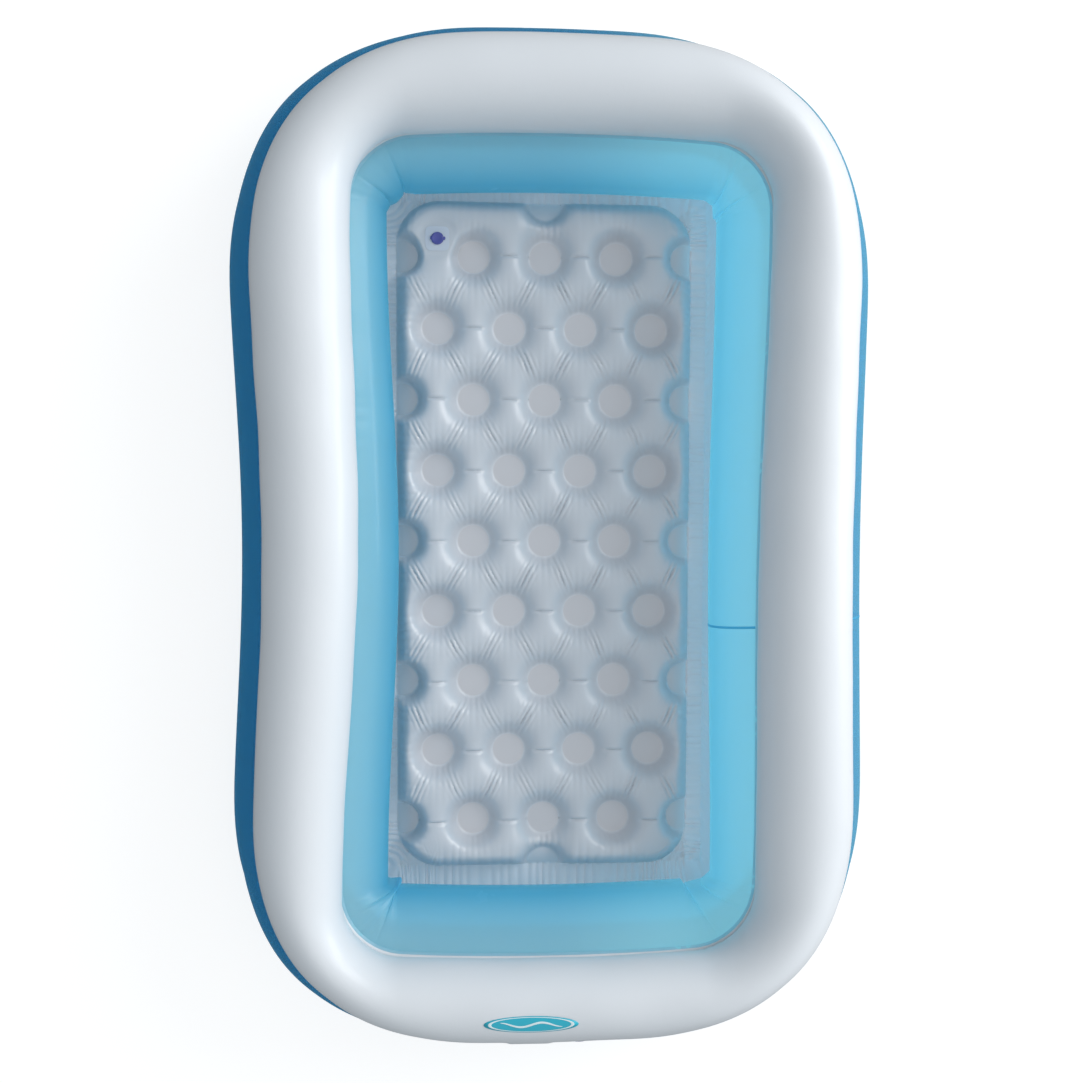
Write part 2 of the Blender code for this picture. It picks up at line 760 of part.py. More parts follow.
def valve_plug(name, frame, material):
    """The plug, whose origin is on the bend of its strap."""
    nose = BORE_RADIUS - NOSE_CLEARANCE
    low = HEAD_LOW - (LIP_TOP + GAP / 2)
    high = low + HEAD_THICKNESS
    profile = [
        (0.0, high),
        (HEAD_RADIUS - HEAD_CHAMFER, high),
        (HEAD_RADIUS, high - HEAD_CHAMFER),
        (HEAD_RADIUS, low),
        (nose, low),
        (nose - NOSE_TAPER, low - NOSE_LENGTH),
        (0.0, low - NOSE_LENGTH),
    ]
    thing = turned(name, profile, False, material)
    middle = Matrix.Translation((-STRAP_REACH, 0, 0))
    thing.data.transform(middle)
    thing.modifiers["turn"].object = screw_axis(name, frame @ hinge_place() @ middle)
    strap = box_mesh(
        name + "_strap",
        (-STRAP_REACH + nose, -STRAP_WIDTH / 2, low + STRAP_THICKNESS / 8),
        (-GAP / 2, STRAP_WIDTH / 2, low + STRAP_THICKNESS),
    )
    cutter = link_cutter(name + "_strap", strap)
    add_boolean(thing, cutter, "UNION")
    thing.matrix_world = frame @ hinge_place()
    cutter.matrix_world = frame @ hinge_place()
    return thing


def hinge_place():
    return Matrix.Translation((STRAP_REACH, 0, LIP_TOP + GAP / 2))


def flap_place():
    return Matrix.Translation((FLAP_RADIUS + STRAP_THICKNESS, 0, -STEM_DEPTH - GAP / 2))


def screw_axis(name, matrix):
    """The middle line that a turned piece is turned about, where the piece's origin is elsewhere."""
    axis = bpy.data.objects.new(name + "_axis", None)
    PARTS.objects.link(axis)
    axis.matrix_world = matrix
    return axis


def valve_flap(name, frame, material):
    """The disc that shuts the inner end of the tube. Its origin is on its living hinge."""
    reach = FLAP_RADIUS + STRAP_THICKNESS
    bm = bmesh.new()
    bmesh.ops.create_cone(
        bm, cap_ends=True, segments=TURN_STEPS,
        radius1=FLAP_RADIUS, radius2=FLAP_RADIUS, depth=FLAP_THICKNESS,
    )
    drop = Vector((-reach, 0, -(GAP + FLAP_THICKNESS) / 2))
    bmesh.ops.translate(bm, vec=drop, verts=bm.verts[:])
    thing = link_object(name, mesh_from_bmesh(name, bm), material)
    ear = box_mesh(
        name + "_ear",
        (-reach + FLAP_RADIUS / 2, -FLAP_HINGE_WIDTH / 2, drop.z - FLAP_THICKNESS / 4),
        (0.0, FLAP_HINGE_WIDTH / 2, drop.z + FLAP_THICKNESS / 4),
    )
    cutter = link_cutter(name + "_ear", ear)
    add_boolean(thing, cutter, "UNION")
    thing.matrix_world = frame @ flap_place()
    cutter.matrix_world = frame @ flap_place()
    return thing


def ride_on(piece, carrier):
    """Parent a piece to what carries it, where it stands."""
    bpy.context.view_layer.update()
    kept = piece.matrix_world.copy()
    piece.parent = carrier
    piece.matrix_parent_inverse = carrier.matrix_world.inverted()
    piece.matrix_world = kept


def make_valve(prefix, film, frame, wall):
    clear = make_material(prefix + "_valve_clear", VALVE_CLEAR, 0.35)
    dark = make_material(prefix + "_valve_blue", VALVE_BLUE, 0.3)
    cut_valve_hole(film, prefix + "_valve", frame)
    valve_base(prefix + "_valve_base", frame, wall, clear)
    valve_skirt(prefix + "_valve_skirt", frame, clear)
    stem = valve_stem(prefix + "_valve_stem", frame, dark)
    plug = valve_plug(prefix + "_valve_plug", frame, dark)
    flap = valve_flap(prefix + "_valve_flap", frame, clear)
    ride_on(plug, stem)
    ride_on(flap, stem)


def floor_valve(film):
    origin = (FLOOR_MIDDLE + FLOOR_VALVE).to_3d() + Vector((0, 0, FLOOR_CREST + FILM))
    frame = wall_frame(origin, Vector((0, 0, 1)), Vector((1, 0, 0)))
    side = VALVE_PLATE_SIDE / 2 + GAP
    make_valve("floor", film, frame, [(-side, 0.0), (side, 0.0)])


def main():
    upper = upper_ring_film()
    chamber_web()
    lower = lower_ring_film()
    top = floor_top_film()
    floor_base_film()
    floor_valve(top)
    make_valve("upper", upper, *ring_wall(upper_section, -RING_VALVE_SPREAD, 2))
    make_valve("lower", lower, *ring_wall(lower_section, RING_VALVE_SPREAD, 3))


main()
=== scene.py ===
# %% [markdown]
# An inflatable paddling pool, dressed for a picture
#
# The pool is two air rings of welded film round a quilted air floor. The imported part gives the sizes, the
# joints and the places of the valves. This lesson makes the films as fine meshes from formulas, with the
# puckers that welding leaves, and then their finishes, the light and the camera.

import json
import math

import bmesh
import bpy
import numpy as np
from mathutils import Matrix, Vector


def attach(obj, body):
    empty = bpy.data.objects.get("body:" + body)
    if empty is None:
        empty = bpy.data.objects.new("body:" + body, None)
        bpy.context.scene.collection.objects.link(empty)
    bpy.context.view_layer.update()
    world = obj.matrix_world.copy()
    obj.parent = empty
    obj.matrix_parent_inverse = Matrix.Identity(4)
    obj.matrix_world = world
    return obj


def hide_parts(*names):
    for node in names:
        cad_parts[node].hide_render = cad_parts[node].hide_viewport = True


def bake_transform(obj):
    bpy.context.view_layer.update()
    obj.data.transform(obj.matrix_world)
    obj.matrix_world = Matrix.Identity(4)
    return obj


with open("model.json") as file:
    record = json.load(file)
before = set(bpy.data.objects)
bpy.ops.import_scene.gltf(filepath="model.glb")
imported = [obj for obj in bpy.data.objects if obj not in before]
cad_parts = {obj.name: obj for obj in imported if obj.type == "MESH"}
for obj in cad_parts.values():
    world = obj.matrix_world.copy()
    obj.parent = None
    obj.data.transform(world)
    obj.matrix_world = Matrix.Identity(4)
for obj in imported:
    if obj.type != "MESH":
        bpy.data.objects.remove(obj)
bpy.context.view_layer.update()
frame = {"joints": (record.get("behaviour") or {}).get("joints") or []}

# %% [markdown]
# Measures in metres
#
# The rings are lofted: one section is swept round a plan, and the plan has two rails, which are the inner
# and the outer edge of the white ring. These are the maker's sizes of both. Writing them once here means
# that every film meets its neighbour along the same seam.

# %% Sizes of the films
FILM = 0.0003
GAP = 0.0003
FLANGE_WIDTH = 0.010
LAP_HEIGHT = 2 * (FILM + GAP)
LAP_WIDTH = 0.020
LAP_RAMP = 0.004
LAP_CLEARANCE = 0.002

POOL_SIZE = np.array((1.052, 1.67))
BULGE_OUT = {"side": 0.0515, "end": 0.0530, "corner": 0.0570}
BULGE_IN = {"side": 0.0565, "end": 0.0700, "corner": 0.0715}
RING_WIDTHS = np.array((0.146, 0.134))
UPPER_HEIGHT = 0.112
LOWER_HEIGHT = 0.168
FOOT_ROUNDING = 0.075
UPPER_PINCH = math.radians(37)
LOWER_PINCH = math.radians(70)

UPPER_OUT = POOL_SIZE / 2 - (BULGE_OUT["side"], BULGE_OUT["end"])
UPPER_IN = UPPER_OUT - RING_WIDTHS
SEAM_HALF = FILM / 2 + GAP
UPPER_RISE = UPPER_HEIGHT / (1 + math.sin(UPPER_PINCH))
UPPER_MIDDLE = LOWER_HEIGHT + UPPER_HEIGHT - UPPER_RISE
UPPER_FLANGE = LOWER_HEIGHT + SEAM_HALF + FILM
LOWER_FLANGE = LOWER_HEIGHT - SEAM_HALF - FILM
LOWER_RISE = LOWER_FLANGE / (1 + math.sin(LOWER_PINCH))
print("rails of the white ring, half sizes:", UPPER_OUT, UPPER_IN)

# %% [markdown]
# The plan
#
# A blown-up ring draws its long sides in and lets its ends bow out. One function bends both rails in that
# way, so the rings keep their width while the outline loses its straight lines. A superellipse gives the
# large outer corner, and a plain arc the small inner one.

# %% Rails of the plan
INNER_CORNER = 0.088
OUTER_CORNER = np.array((0.377, 0.389))
OUTER_POWER = 2.6
WAIST_LEFT, WAIST_RIGHT = 0.0185, 0.008
WAIST_LENGTH, WAIST_RAMP = 1.10, 0.25
END_BOW, END_BOW_REACH, END_BOW_START = 0.0145, 0.36, 0.40
RIM_SHIFT, RIM_SKEW = 0.0097, 0.010
HALVINGS = 40


def inside_outer_rail(points):
    reach = np.abs(points)
    corner = np.clip((reach - UPPER_OUT) / OUTER_CORNER + 1, 0, None)
    return (reach < UPPER_OUT).all(axis=1) & ((corner ** OUTER_POWER).sum(axis=1) <= 1)


def reach_outer_rail(starts, rays):
    """Halve the step along each ray until it ends on the outer rail."""
    near, far = np.zeros(len(starts)), np.full(len(starts), POOL_SIZE[1])
    for _ in range(HALVINGS):
        middle = (near + far) / 2
        inside = inside_outer_rail(starts + rays * middle[:, None])
        near, far = np.where(inside, middle, near), np.where(inside, far, middle)
    return starts + rays * near[:, None]


def warp(points):
    """Draw the long sides in and let the ends bow out."""
    x, y = points.T
    waist = np.where(x < 0, WAIST_LEFT, WAIST_RIGHT)
    along = np.clip(np.abs(y) / (WAIST_LENGTH / 2), 0, 1)
    pull = waist * np.cos(along * math.pi / 2) ** 2 * np.clip(np.abs(x) / WAIST_RAMP, 0, 1)
    bow = END_BOW * np.clip(np.abs(x) / END_BOW_REACH, 0, 1) ** 2
    return np.stack((x - np.copysign(pull, x), y - bow * np.clip(y / END_BOW_START, -1, 1)), axis=1)


def bulge(rays, sizes):
    """How far the lower ring bulges past the upper one in each direction."""
    diagonal = (2 * rays[:, 0] * rays[:, 1]) ** 2
    straight = sizes["side"] * rays[:, 0] ** 2 + sizes["end"] * rays[:, 1] ** 2
    return diagonal * sizes["corner"] + (1 - diagonal) * straight


# %% [markdown]
# Stations
#
# A station is one cut through the rings. The stations stand about 6 mm apart, which is fine enough for the
# puckers at a weld. Each one also remembers how near it is to a fold, because the blue film folds twice in
# every inner corner, where the flat-cut film is too long for the way round.

# %% Stations round the loop
CORNER_STATIONS, SIDE_STATIONS, END_STATIONS = 70, 150, 72
FOLD_SHARES = (2 / 7, 5 / 7)
FOLD_REACH_SHARE = 1 / 7
CREASE_SHARE = 1 / 4


def corner_and_straight(k, hub_half):
    """Hubs, rays and fold shares of a corner and of the straight that follows it."""
    signs = np.array(((1, 1), (-1, 1), (-1, -1), (1, -1)))
    hub, following = signs[k] * hub_half, signs[(k + 1) % 4] * hub_half
    turn = np.arange(CORNER_STATIONS) / CORNER_STATIONS
    angles = math.pi / 2 * (k + np.append(turn, 1))
    rays = np.stack((np.cos(angles), np.sin(angles)), axis=1)
    near = np.min([np.abs(turn - share) for share in FOLD_SHARES], axis=0) / FOLD_REACH_SHARE
    count = END_STATIONS if k % 2 == 0 else SIDE_STATIONS
    along = (np.arange(count) / count)[:, None]
    hubs = np.vstack((np.repeat(hub[None], CORNER_STATIONS, 0), hub + (following - hub) * along))
    rays = np.vstack((rays[:-1], np.repeat(rays[-1:], count, 0)))
    hollow, crease = np.clip(1 - near, 0, 1) ** 1.5, np.clip(1 - near / CREASE_SHARE, 0, 1)
    folds = np.concatenate(((hollow + crease) / 2, np.zeros(count)))
    return hubs, rays, folds


def make_plan():
    quarters = [corner_and_straight(k, UPPER_IN - INNER_CORNER) for k in range(4)]
    hubs, rays, folds = (np.concatenate(part) for part in zip(*quarters))
    rim = hubs + rays * INNER_CORNER
    shift = np.stack((RIM_SKEW * rim[:, 1] / UPPER_IN[1], np.full(len(rim), -RIM_SHIFT)), axis=1)
    inner, outer = warp(rim) + shift, warp(reach_outer_rail(rim, rays))
    middle = np.array(((outer[:, 0].max() + outer[:, 0].min()) / 2, 0))
    inner, outer = inner - middle, outer - middle
    step = np.linalg.norm(np.diff(inner, axis=0, append=inner[:1]), axis=1)
    far_step = np.linalg.norm(np.diff(outer, axis=0, append=outer[:1]), axis=1)
    width = np.linalg.norm(outer - inner, axis=1)
    return {
        "middle": (inner + outer) / 2,
        "outward": (outer - inner) / width[:, None],
        "half": width / 2,
        "pinch": width / 2 * math.cos(UPPER_PINCH),
        "bulge_in": bulge(rays, BULGE_IN) + (shift * rays).sum(axis=1),
        "bulge_out": bulge(rays, BULGE_OUT),
        "fold": folds,
        "inner_run": np.cumsum(step) - step,
        "inner_loop": step.sum(),
        "outer_run": np.cumsum(far_step) - far_step,
        "outer_loop": far_step.sum(),
    }


plan = make_plan()
print(len(plan["half"]), "stations, inner rail", round(plan["inner_loop"], 3), "m round")

# %% [markdown]
# Sections to surfaces
#
# A section is two rows of numbers: how far out from the ring's middle line, and how high. Sweeping it
# gives a grid of points, and a grid is the simplest mesh to shade, because its normals come from its own
# rows and columns. Puckers are then pushed along those normals, strongest at the welds.

# %% Grids of points
SHARP_FROM = math.radians(50)
SAME_PLACE = 1e-6


def sweep(across, height):
    """Points of a section at every station, from (station, point) tables."""
    flat = plan["middle"][:, None, :] + plan["outward"][:, None, :] * across[:, :, None]
    return np.concatenate((flat, height[:, :, None]), axis=2)


def grid_normals(points, closed=True):
    if closed:
        along = np.roll(points, -1, 0) - np.roll(points, 1, 0)
    else:
        along = np.gradient(points, axis=0)
    normal = np.cross(along, np.gradient(points, axis=1))
    return normal / np.maximum(np.linalg.norm(normal, axis=2, keepdims=True), 1e-9)


def grid_faces(rows, columns, closed=True):
    first = np.arange(rows if closed else rows - 1)
    a, j = np.meshgrid(first, np.arange(columns - 1), indexing="ij")
    b = (a + 1) % rows
    corners = (a * columns + j, b * columns + j, b * columns + j + 1, a * columns + j + 1)
    return np.stack(corners, axis=2).reshape(-1, 4)


def add_to_scene(name, data):
    thing = bpy.data.objects.new(name, data)
    bpy.context.scene.collection.objects.link(thing)
    return thing


def make_object(name, points, faces):
    """A smooth mesh from a table of points and a list of faces."""
    mesh = bpy.data.meshes.new(name)
    mesh.from_pydata(points.reshape(-1, 3).tolist(), [], faces)
    mesh.validate()
    mesh.shade_smooth()
    mesh.set_sharp_from_angle(angle=SHARP_FROM)
    return add_to_scene(name, mesh)


def make_film(name, points, faces, thickness=FILM, offset=-1):
    """A film is a thin closed shell, so it prints, floats and shades like one."""
    film = make_object(name, points, faces.tolist())
    shell = film.modifiers.new("film", "SOLIDIFY")
    shell.thickness, shell.offset = thickness, offset
    shell.use_even_offset = False
    shell.use_quality_normals = True
    print(name, len(faces), "faces")
    return film


def clean(thing):
    """Merge the points that lie on top of each other, and turn all faces outwards."""
    work = bmesh.new()
    work.from_mesh(thing.data)
    bmesh.ops.remove_doubles(work, verts=work.verts[:], dist=SAME_PLACE)
    bmesh.ops.recalc_face_normals(work, faces=work.faces[:])
    work.to_mesh(thing.data)
    work.free()
    thing.data.set_sharp_from_angle(angle=SHARP_FROM)
    return thing


# %% [markdown]
# Puckers
#
# Welding shrinks a seam a little, and the film beside it gathers into short folds. They aren't a neat
# wave: here a few waves of unlike length are added, each a whole number of times round the loop so that
# the end meets the start, and folded at zero, which makes narrow valleys between round ridges.

# %% Waves for puckers
chance = np.random.default_rng(11)


def loop_waves(run, loop, pitch, spread=0.35, count=5):
    """A wavy number from -1 to 1 for each place along a closed loop."""
    total = np.zeros_like(run)
    for _ in range(count):
        times = max(1, round(loop / (pitch * (1 + spread * (2 * chance.random() - 1)))))
        total += np.sin(2 * math.pi * (times * run / loop + chance.random()))
    return total / math.sqrt(count)


def gathers(run, loop, pitch):
    """Narrow valleys between round ridges, strong in some places and weak in others."""
    strength = 0.6 + 0.4 * loop_waves(run, loop, 9 * pitch)
    return (np.abs(loop_waves(run, loop, 2 * pitch)) - 0.6) * strength


# %% [markdown]
# Where the valves sit
#
# A valve's plate is stiffer than the film it is welded to, and holds it flat, so the places of the valves
# are worked out before the rings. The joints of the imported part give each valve's axis and place.

# %% Where the valves sit
PLATE_SIDE, PLATE_THICKNESS, PLATE_EASE = 0.040, 0.0008, 0.020
STEM_RADIUS, BORE_RADIUS, STEM_DEPTH = 0.0065, 0.0050, 0.0140
LIP_RADIUS, LIP_THICKNESS = 0.0105, 0.0010
SKIRT_THICKNESS, SKIRT_DEPTH = 0.0005, 0.0085
HEAD_RADIUS, HEAD_THICKNESS = 0.0096, 0.0020
NOSE_LENGTH, NOSE_CLEARANCE = 0.0050, 0.0003
STRAP_REACH, STRAP_WIDTH, STRAP_THICKNESS = 0.0135, 0.0050, 0.0008
FLAP_THICKNESS, FLAP_RADIUS, FLAP_HINGE = 0.0006, 0.0060, 0.0030
PLATE_TOP = GAP + PLATE_THICKNESS
LIP_LOW = PLATE_TOP + GAP
LIP_TOP = LIP_LOW + LIP_THICKNESS
HEAD_LOW = LIP_TOP + GAP

joints = {joint["name"]: joint for joint in frame["joints"]}


def valve_place(valve):
    """The matrix from the valve's own axes, Z out of the film, to the pool's."""
    out = Vector(joints[valve + "_stem_push"]["axis"]).normalized()
    along = Vector((1, 0, 0))
    pivot = Vector(joints[valve + "_plug_pull"]["pos_m"])
    origin = pivot - along * STRAP_REACH - out * (LIP_TOP + GAP / 2)
    turn = Matrix((along, out.cross(along), out)).transposed().to_4x4()
    return Matrix.Translation(origin) @ turn


def press_flat(points, valve):
    """Lay the film flat under the plate of a valve, and let it ease back into its own shape around it."""
    place = valve_place(valve)
    there, back = np.array(place.inverted()), np.array(place)
    local = points @ there[:3, :3].T + there[:3, 3]
    away = np.abs(local[..., :2]).max(axis=-1) - PLATE_SIDE / 2
    share = np.clip(1 - away / PLATE_EASE, 0, 1)
    share = share ** 2 * (3 - 2 * share) * (np.abs(local[..., 2]) < PLATE_EASE)
    local[..., 2] *= 1 - share
    return local @ back[:3, :3].T + back[:3, 3]


for valve in ("floor", "upper", "lower"):
    print(valve, "valve at", tuple(round(c, 4) for c in valve_place(valve).translation))

# %% [markdown]
# The white ring
#
# The upper ring is wrapped in opaque white film: an ellipse that is cut off below, where both its edges
# turn into flat weld flanges. A torus would do for a round pool, but this plan needs the sweep.

# %% Upper ring
UPPER_STEPS = 40
SEAM_REACH = 0.016
FLANGE_TRIM = 0.0045
UPPER_GATHER, UPPER_PITCH = 0.0010, 0.016
UPPER_WAVE, UPPER_WAVE_PITCH = 0.0006, 0.22
RUNS, LOOPS = (plan["outer_run"], plan["inner_run"]), (plan["outer_loop"], plan["inner_loop"])


def upper_section():
    """The upper film at every station: flange, ellipse, flange."""
    angle = np.linspace(-UPPER_PINCH, math.pi + UPPER_PINCH, UPPER_STEPS + 1)
    across = plan["half"][:, None] * np.cos(angle)
    height = np.repeat((UPPER_MIDDLE + UPPER_RISE * np.sin(angle))[None], len(across), 0)
    tip, seam = (plan["pinch"] + FLANGE_WIDTH)[:, None], np.full((len(across), 1), UPPER_FLANGE)
    height[:, [0, -1]] = UPPER_FLANGE
    return np.hstack((tip, across, FLANGE_TRIM - tip)), np.hstack((seam, height, seam))


def gather_film(points, from_seams, runs, loops, pitch, depth, reach):
    """Push puckers into a film. from_seams and runs have one table for each of its seams."""
    normals = grid_normals(points)
    for distance, run, loop in zip(from_seams, runs, loops):
        fade = np.exp(-distance / reach) * np.clip(distance / (reach / 4), 0, 1)
        points = points + normals * (depth * gathers(run, loop, pitch)[:, None] * fade)[:, :, None]
    return points


def distance_along(points, start):
    """How far each point of a section lies from its point number start, along the film."""
    steps = np.linalg.norm(np.diff(points, axis=1), axis=2)
    run = np.concatenate((np.zeros((len(points), 1)), np.cumsum(steps, axis=1)), axis=1)
    return np.abs(run - run[:, start][:, None])


def gather_at_seams(points, pitch, depth, reach):
    """Puckers beside the outer and the inner seam of a ring, and how far each point is from these."""
    seams = (distance_along(points, 1), distance_along(points, -2))
    return gather_film(points, seams, RUNS, LOOPS, pitch, depth, reach), seams


def upper_ring_points():
    points, seams = gather_at_seams(sweep(*upper_section()), UPPER_PITCH, UPPER_GATHER, SEAM_REACH)
    calm = np.clip(np.minimum(*seams) / SEAM_REACH, 0, 1)
    slow = loop_waves(plan["inner_run"], plan["inner_loop"], UPPER_WAVE_PITCH)[:, None]
    roll = np.sin(np.linspace(0, 3 * math.pi, points.shape[1]))[None] * slow * UPPER_WAVE
    return points + grid_normals(points) * (roll * calm)[:, :, None]


upper_points = press_flat(upper_ring_points(), "upper")
upper_ring = make_film("upper_ring", upper_points, grid_faces(*upper_points.shape[:2]))

# %% [markdown]
# The blue ring
#
# The lower ring carries the weight of the upper one and of the water, so it bulges on both sides. Its
# outer skin, underside and inner skin are one film here. The inner skin ends in a lap, which lies on the
# flange of the air floor.

# %% Lower ring
LOWER_STEPS = 16
FOOT_STEPS = 12
UNDER_STEPS = 5
FOLD_DEPTH = 0.006
LOWER_GATHER = 0.0017
FOOT_GATHER = 0.0007
LOWER_PITCH = 0.019
NO_SEAM = 1.0


def lower_side(past_rail, foot):
    """One side of the lower ring from flange to ground, as across and height tables."""
    widest = plan["half"] + past_rail
    run = (widest - plan["pinch"]) / (1 - math.cos(LOWER_PINCH))
    upper = LOWER_PINCH * (1 - np.arange(LOWER_STEPS + 1) / LOWER_STEPS)
    lower = math.pi / 2 * np.arange(1, FOOT_STEPS + 1) / FOOT_STEPS
    across = np.hstack((
        (plan["pinch"] + FLANGE_WIDTH)[:, None],
        widest[:, None] - run[:, None] * (1 - np.cos(upper)),
        widest[:, None] - FOOT_ROUNDING * (1 - np.cos(lower)),
    ))
    height = np.concatenate((
        (LOWER_FLANGE,), LOWER_RISE + LOWER_RISE * np.sin(upper),
        LOWER_RISE - (LOWER_RISE - foot) * np.sin(lower),
    ))
    return across, np.repeat(height[None], len(across), 0)


def fold_depth(height):
    """A fold is deepest at mid height and runs out at the seam and at the ground."""
    level = np.clip((height - LOWER_RISE) / LOWER_RISE, -1, 1)
    return FOLD_DEPTH * np.sqrt(1 - level ** 2)


def lower_ring_points():
    outer, outer_height = lower_side(plan["bulge_out"], 0.0)
    inner, inner_height = lower_side(plan["bulge_in"], LAP_HEIGHT)
    inner = inner - fold_depth(inner_height) * plan["fold"][:, None]
    lap_end = inner[:, -1:] - LAP_WIDTH
    inner = np.hstack((inner, inner[:, -1:] - LAP_WIDTH / 2, lap_end, lap_end - LAP_RAMP))
    lap = np.full_like(lap_end, LAP_HEIGHT)
    inner_height = np.hstack((inner_height, lap, lap, np.zeros_like(lap)))
    shares = np.arange(1, UNDER_STEPS + 1) / (UNDER_STEPS + 1)
    under = outer[:, -1:] + (-inner[:, -1:] - outer[:, -1:]) * shares
    across = np.hstack((outer, under, -inner[:, ::-1]))
    height = np.hstack((outer_height, np.zeros_like(under), inner_height[:, ::-1]))
    points, _ = gather_at_seams(sweep(across, height), LOWER_PITCH, LOWER_GATHER, 2 * SEAM_REACH)
    last_wall = -1 - LOWER_STEPS - FOOT_STEPS - 1
    foot = distance_along(points, last_wall)
    foot[:, :last_wall] = NO_SEAM
    return gather_film(points, (foot,), RUNS[1:], LOOPS[1:], LOWER_PITCH, FOOT_GATHER, 2 * SEAM_REACH)


lower_points = press_flat(lower_ring_points(), "lower")
lower_ring = make_film("lower_ring", lower_points, grid_faces(*lower_points.shape[:2])[:, ::-1])
inner_wall = np.arange(lower_points.shape[1] - 1) >= 1 + LOWER_STEPS + 1 + FOOT_STEPS + UNDER_STEPS
lower_ring.data.polygons.foreach_set(
    "material_index", np.tile(inner_wall, len(lower_points)).astype(int))

# %% [markdown]
# Where the film's ends meet
#
# The blue film is one long strip, closed to a ring by a lap weld. The double film is a little darker and
# stands a hair proud, so it is modelled as a narrow band on the ring's own section.

# %% Lap weld of the blue film
LAP_WELD_Y = -0.1235
LAP_WELD_HALF = 0.0020
LAP_WELD_LIFT = 0.00035


def section_at(y):
    """The ring's section on its right side, where it crosses the given Y."""
    right = [k for k in range(len(lower_points)) if plan["outward"][k, 0] > 0.9]
    order = sorted(right, key=lambda k: lower_points[k, 1, 1])
    line = np.array([lower_points[k] for k in order])
    ys = line[:, 1, 1]
    above = int(np.clip(np.searchsorted(ys, y), 1, len(ys) - 1))
    share = (y - ys[above - 1]) / (ys[above] - ys[above - 1])
    return line[above - 1] * (1 - share) + line[above] * share


def lap_weld_points():
    rows = []
    for share, lift in ((-1, 0.0), (-0.6, 1.0), (0, 1.0), (0.6, 1.0), (1, 0.0)):
        section = section_at(LAP_WELD_Y + share * LAP_WELD_HALF)[2:-2]
        along = np.gradient(section, axis=0)
        out = np.stack((-along[:, 2], np.zeros(len(section)), along[:, 0]), axis=1)
        out /= np.linalg.norm(out, axis=1)[:, None]
        rows.append(section + out * LAP_WELD_LIFT * lift)
    points = np.stack(rows)
    points[..., 2] = np.maximum(points[..., 2], FILM)
    return points


lap_weld_grid = lap_weld_points()
lap_weld = make_film("lap_weld", lap_weld_grid, grid_faces(*lap_weld_grid.shape[:2], closed=False),
                     FILM / 2, 0)

# %% [markdown]
# The seam between the rings
#
# A flat partition film keeps the air of the two rings apart. It is welded between both flanges, so only
# its edges show, as a thin clear line.

# %% Chamber web
WEB_STEPS = 8


def web_points():
    tip = (plan["pinch"] + FLANGE_WIDTH)[:, None]
    across = np.hstack([tip * (1 - 2 * j / WEB_STEPS) for j in range(WEB_STEPS + 1)])
    return sweep(across, np.full_like(across, LOWER_HEIGHT + FILM / 2))


web_grid = web_points()
chamber_web = make_film("chamber_web_film", web_grid, grid_faces(*web_grid.shape[:2]))

# %% [markdown]
# A plain badge
#
# A small oval is printed on the shoulder at the foot end. Its ground, rim and wave are thin patches, each
# laid on the ring by two numbers: how far along the end, and how far round the section.

# %% Badge
BADGE_X, BADGE_LENGTH = -0.044, 0.146
BADGE_ANGLES = np.radians((67, 93))
BADGE_FILM = 0.00012


def on_shoulder(u, v, lift):
    """A point of the foot-end shoulder, from -1 to 1 along and across the badge."""
    foot = np.flatnonzero(plan["outward"][:, 1] < -0.98)
    foot = foot[np.argsort(plan["middle"][foot, 0])]
    x = BADGE_X + u * BADGE_LENGTH / 2
    angle = BADGE_ANGLES.mean() + v * np.diff(BADGE_ANGLES)[0] / 2
    known = plan["middle"][foot, 0]
    y, half = (np.interp(x, known, values[foot]) for values in (plan["middle"][:, 1], plan["half"]))
    height = UPPER_MIDDLE + (UPPER_RISE + lift) * np.sin(angle)
    return np.stack((x, y - (half + lift) * np.cos(angle), height), -1)


def oval_band(inner, outer, steps=96, rows=6):
    turns = np.linspace(0, 2 * math.pi, steps + 1)[:-1]
    turn, reach = np.meshgrid(turns, np.linspace(inner, outer, rows), indexing="ij")
    return reach * np.cos(turn), reach * np.sin(turn)


def wave_band(reach=0.66, rise=0.26, thick=0.13, steps=72):
    along, side = np.meshgrid(np.linspace(-1, 1, steps + 1), np.linspace(-1, 1, 4), indexing="ij")
    middle = rise * np.sin(1.5 * math.pi * along)
    return reach * along, middle + side * thick * np.sqrt(1.0001 - along ** 2)


def badge_patch(name, place, layer, closed):
    points = on_shoulder(*place, BADGE_FILM * (2 * layer + 2))
    faces = grid_faces(*points.shape[:2], closed=closed)[:, ::-1]
    return clean(make_film(name, points, faces, BADGE_FILM, 1))


badge_ground = badge_patch("badge_ground", oval_band(0.0, 1.0), 0, True)
badge_lines = [badge_patch("badge_rim", oval_band(0.84, 0.91), 1, True),
               badge_patch("badge_wave", wave_band(), 1, False)]

# %% [markdown]
# The air floor
#
# The floor is two films, welded together all round and at round spots in offset rows. The rows shift by
# half a pitch, so some spots are cut by the long edges. The welds' places come first.

# %% Welds of the air floor
FLOOR_HALF = UPPER_IN - (BULGE_IN["side"] + 0.020, BULGE_IN["end"] + 0.009)
FLOOR_MIDDLE = np.array((-0.010, 0.008))
FLOOR_CORNER = 0.075
SPOT_RADIUS = 0.027
SPOT_PITCH = np.array((0.121, 0.120))
SPOT_ROW_SHIFT = 0.005
VALVE_FROM_ROW = 0.025
NOTCH_INSET = 0.004
SIDE_SPOTS = int(FLOOR_HALF[0] / SPOT_PITCH[0])


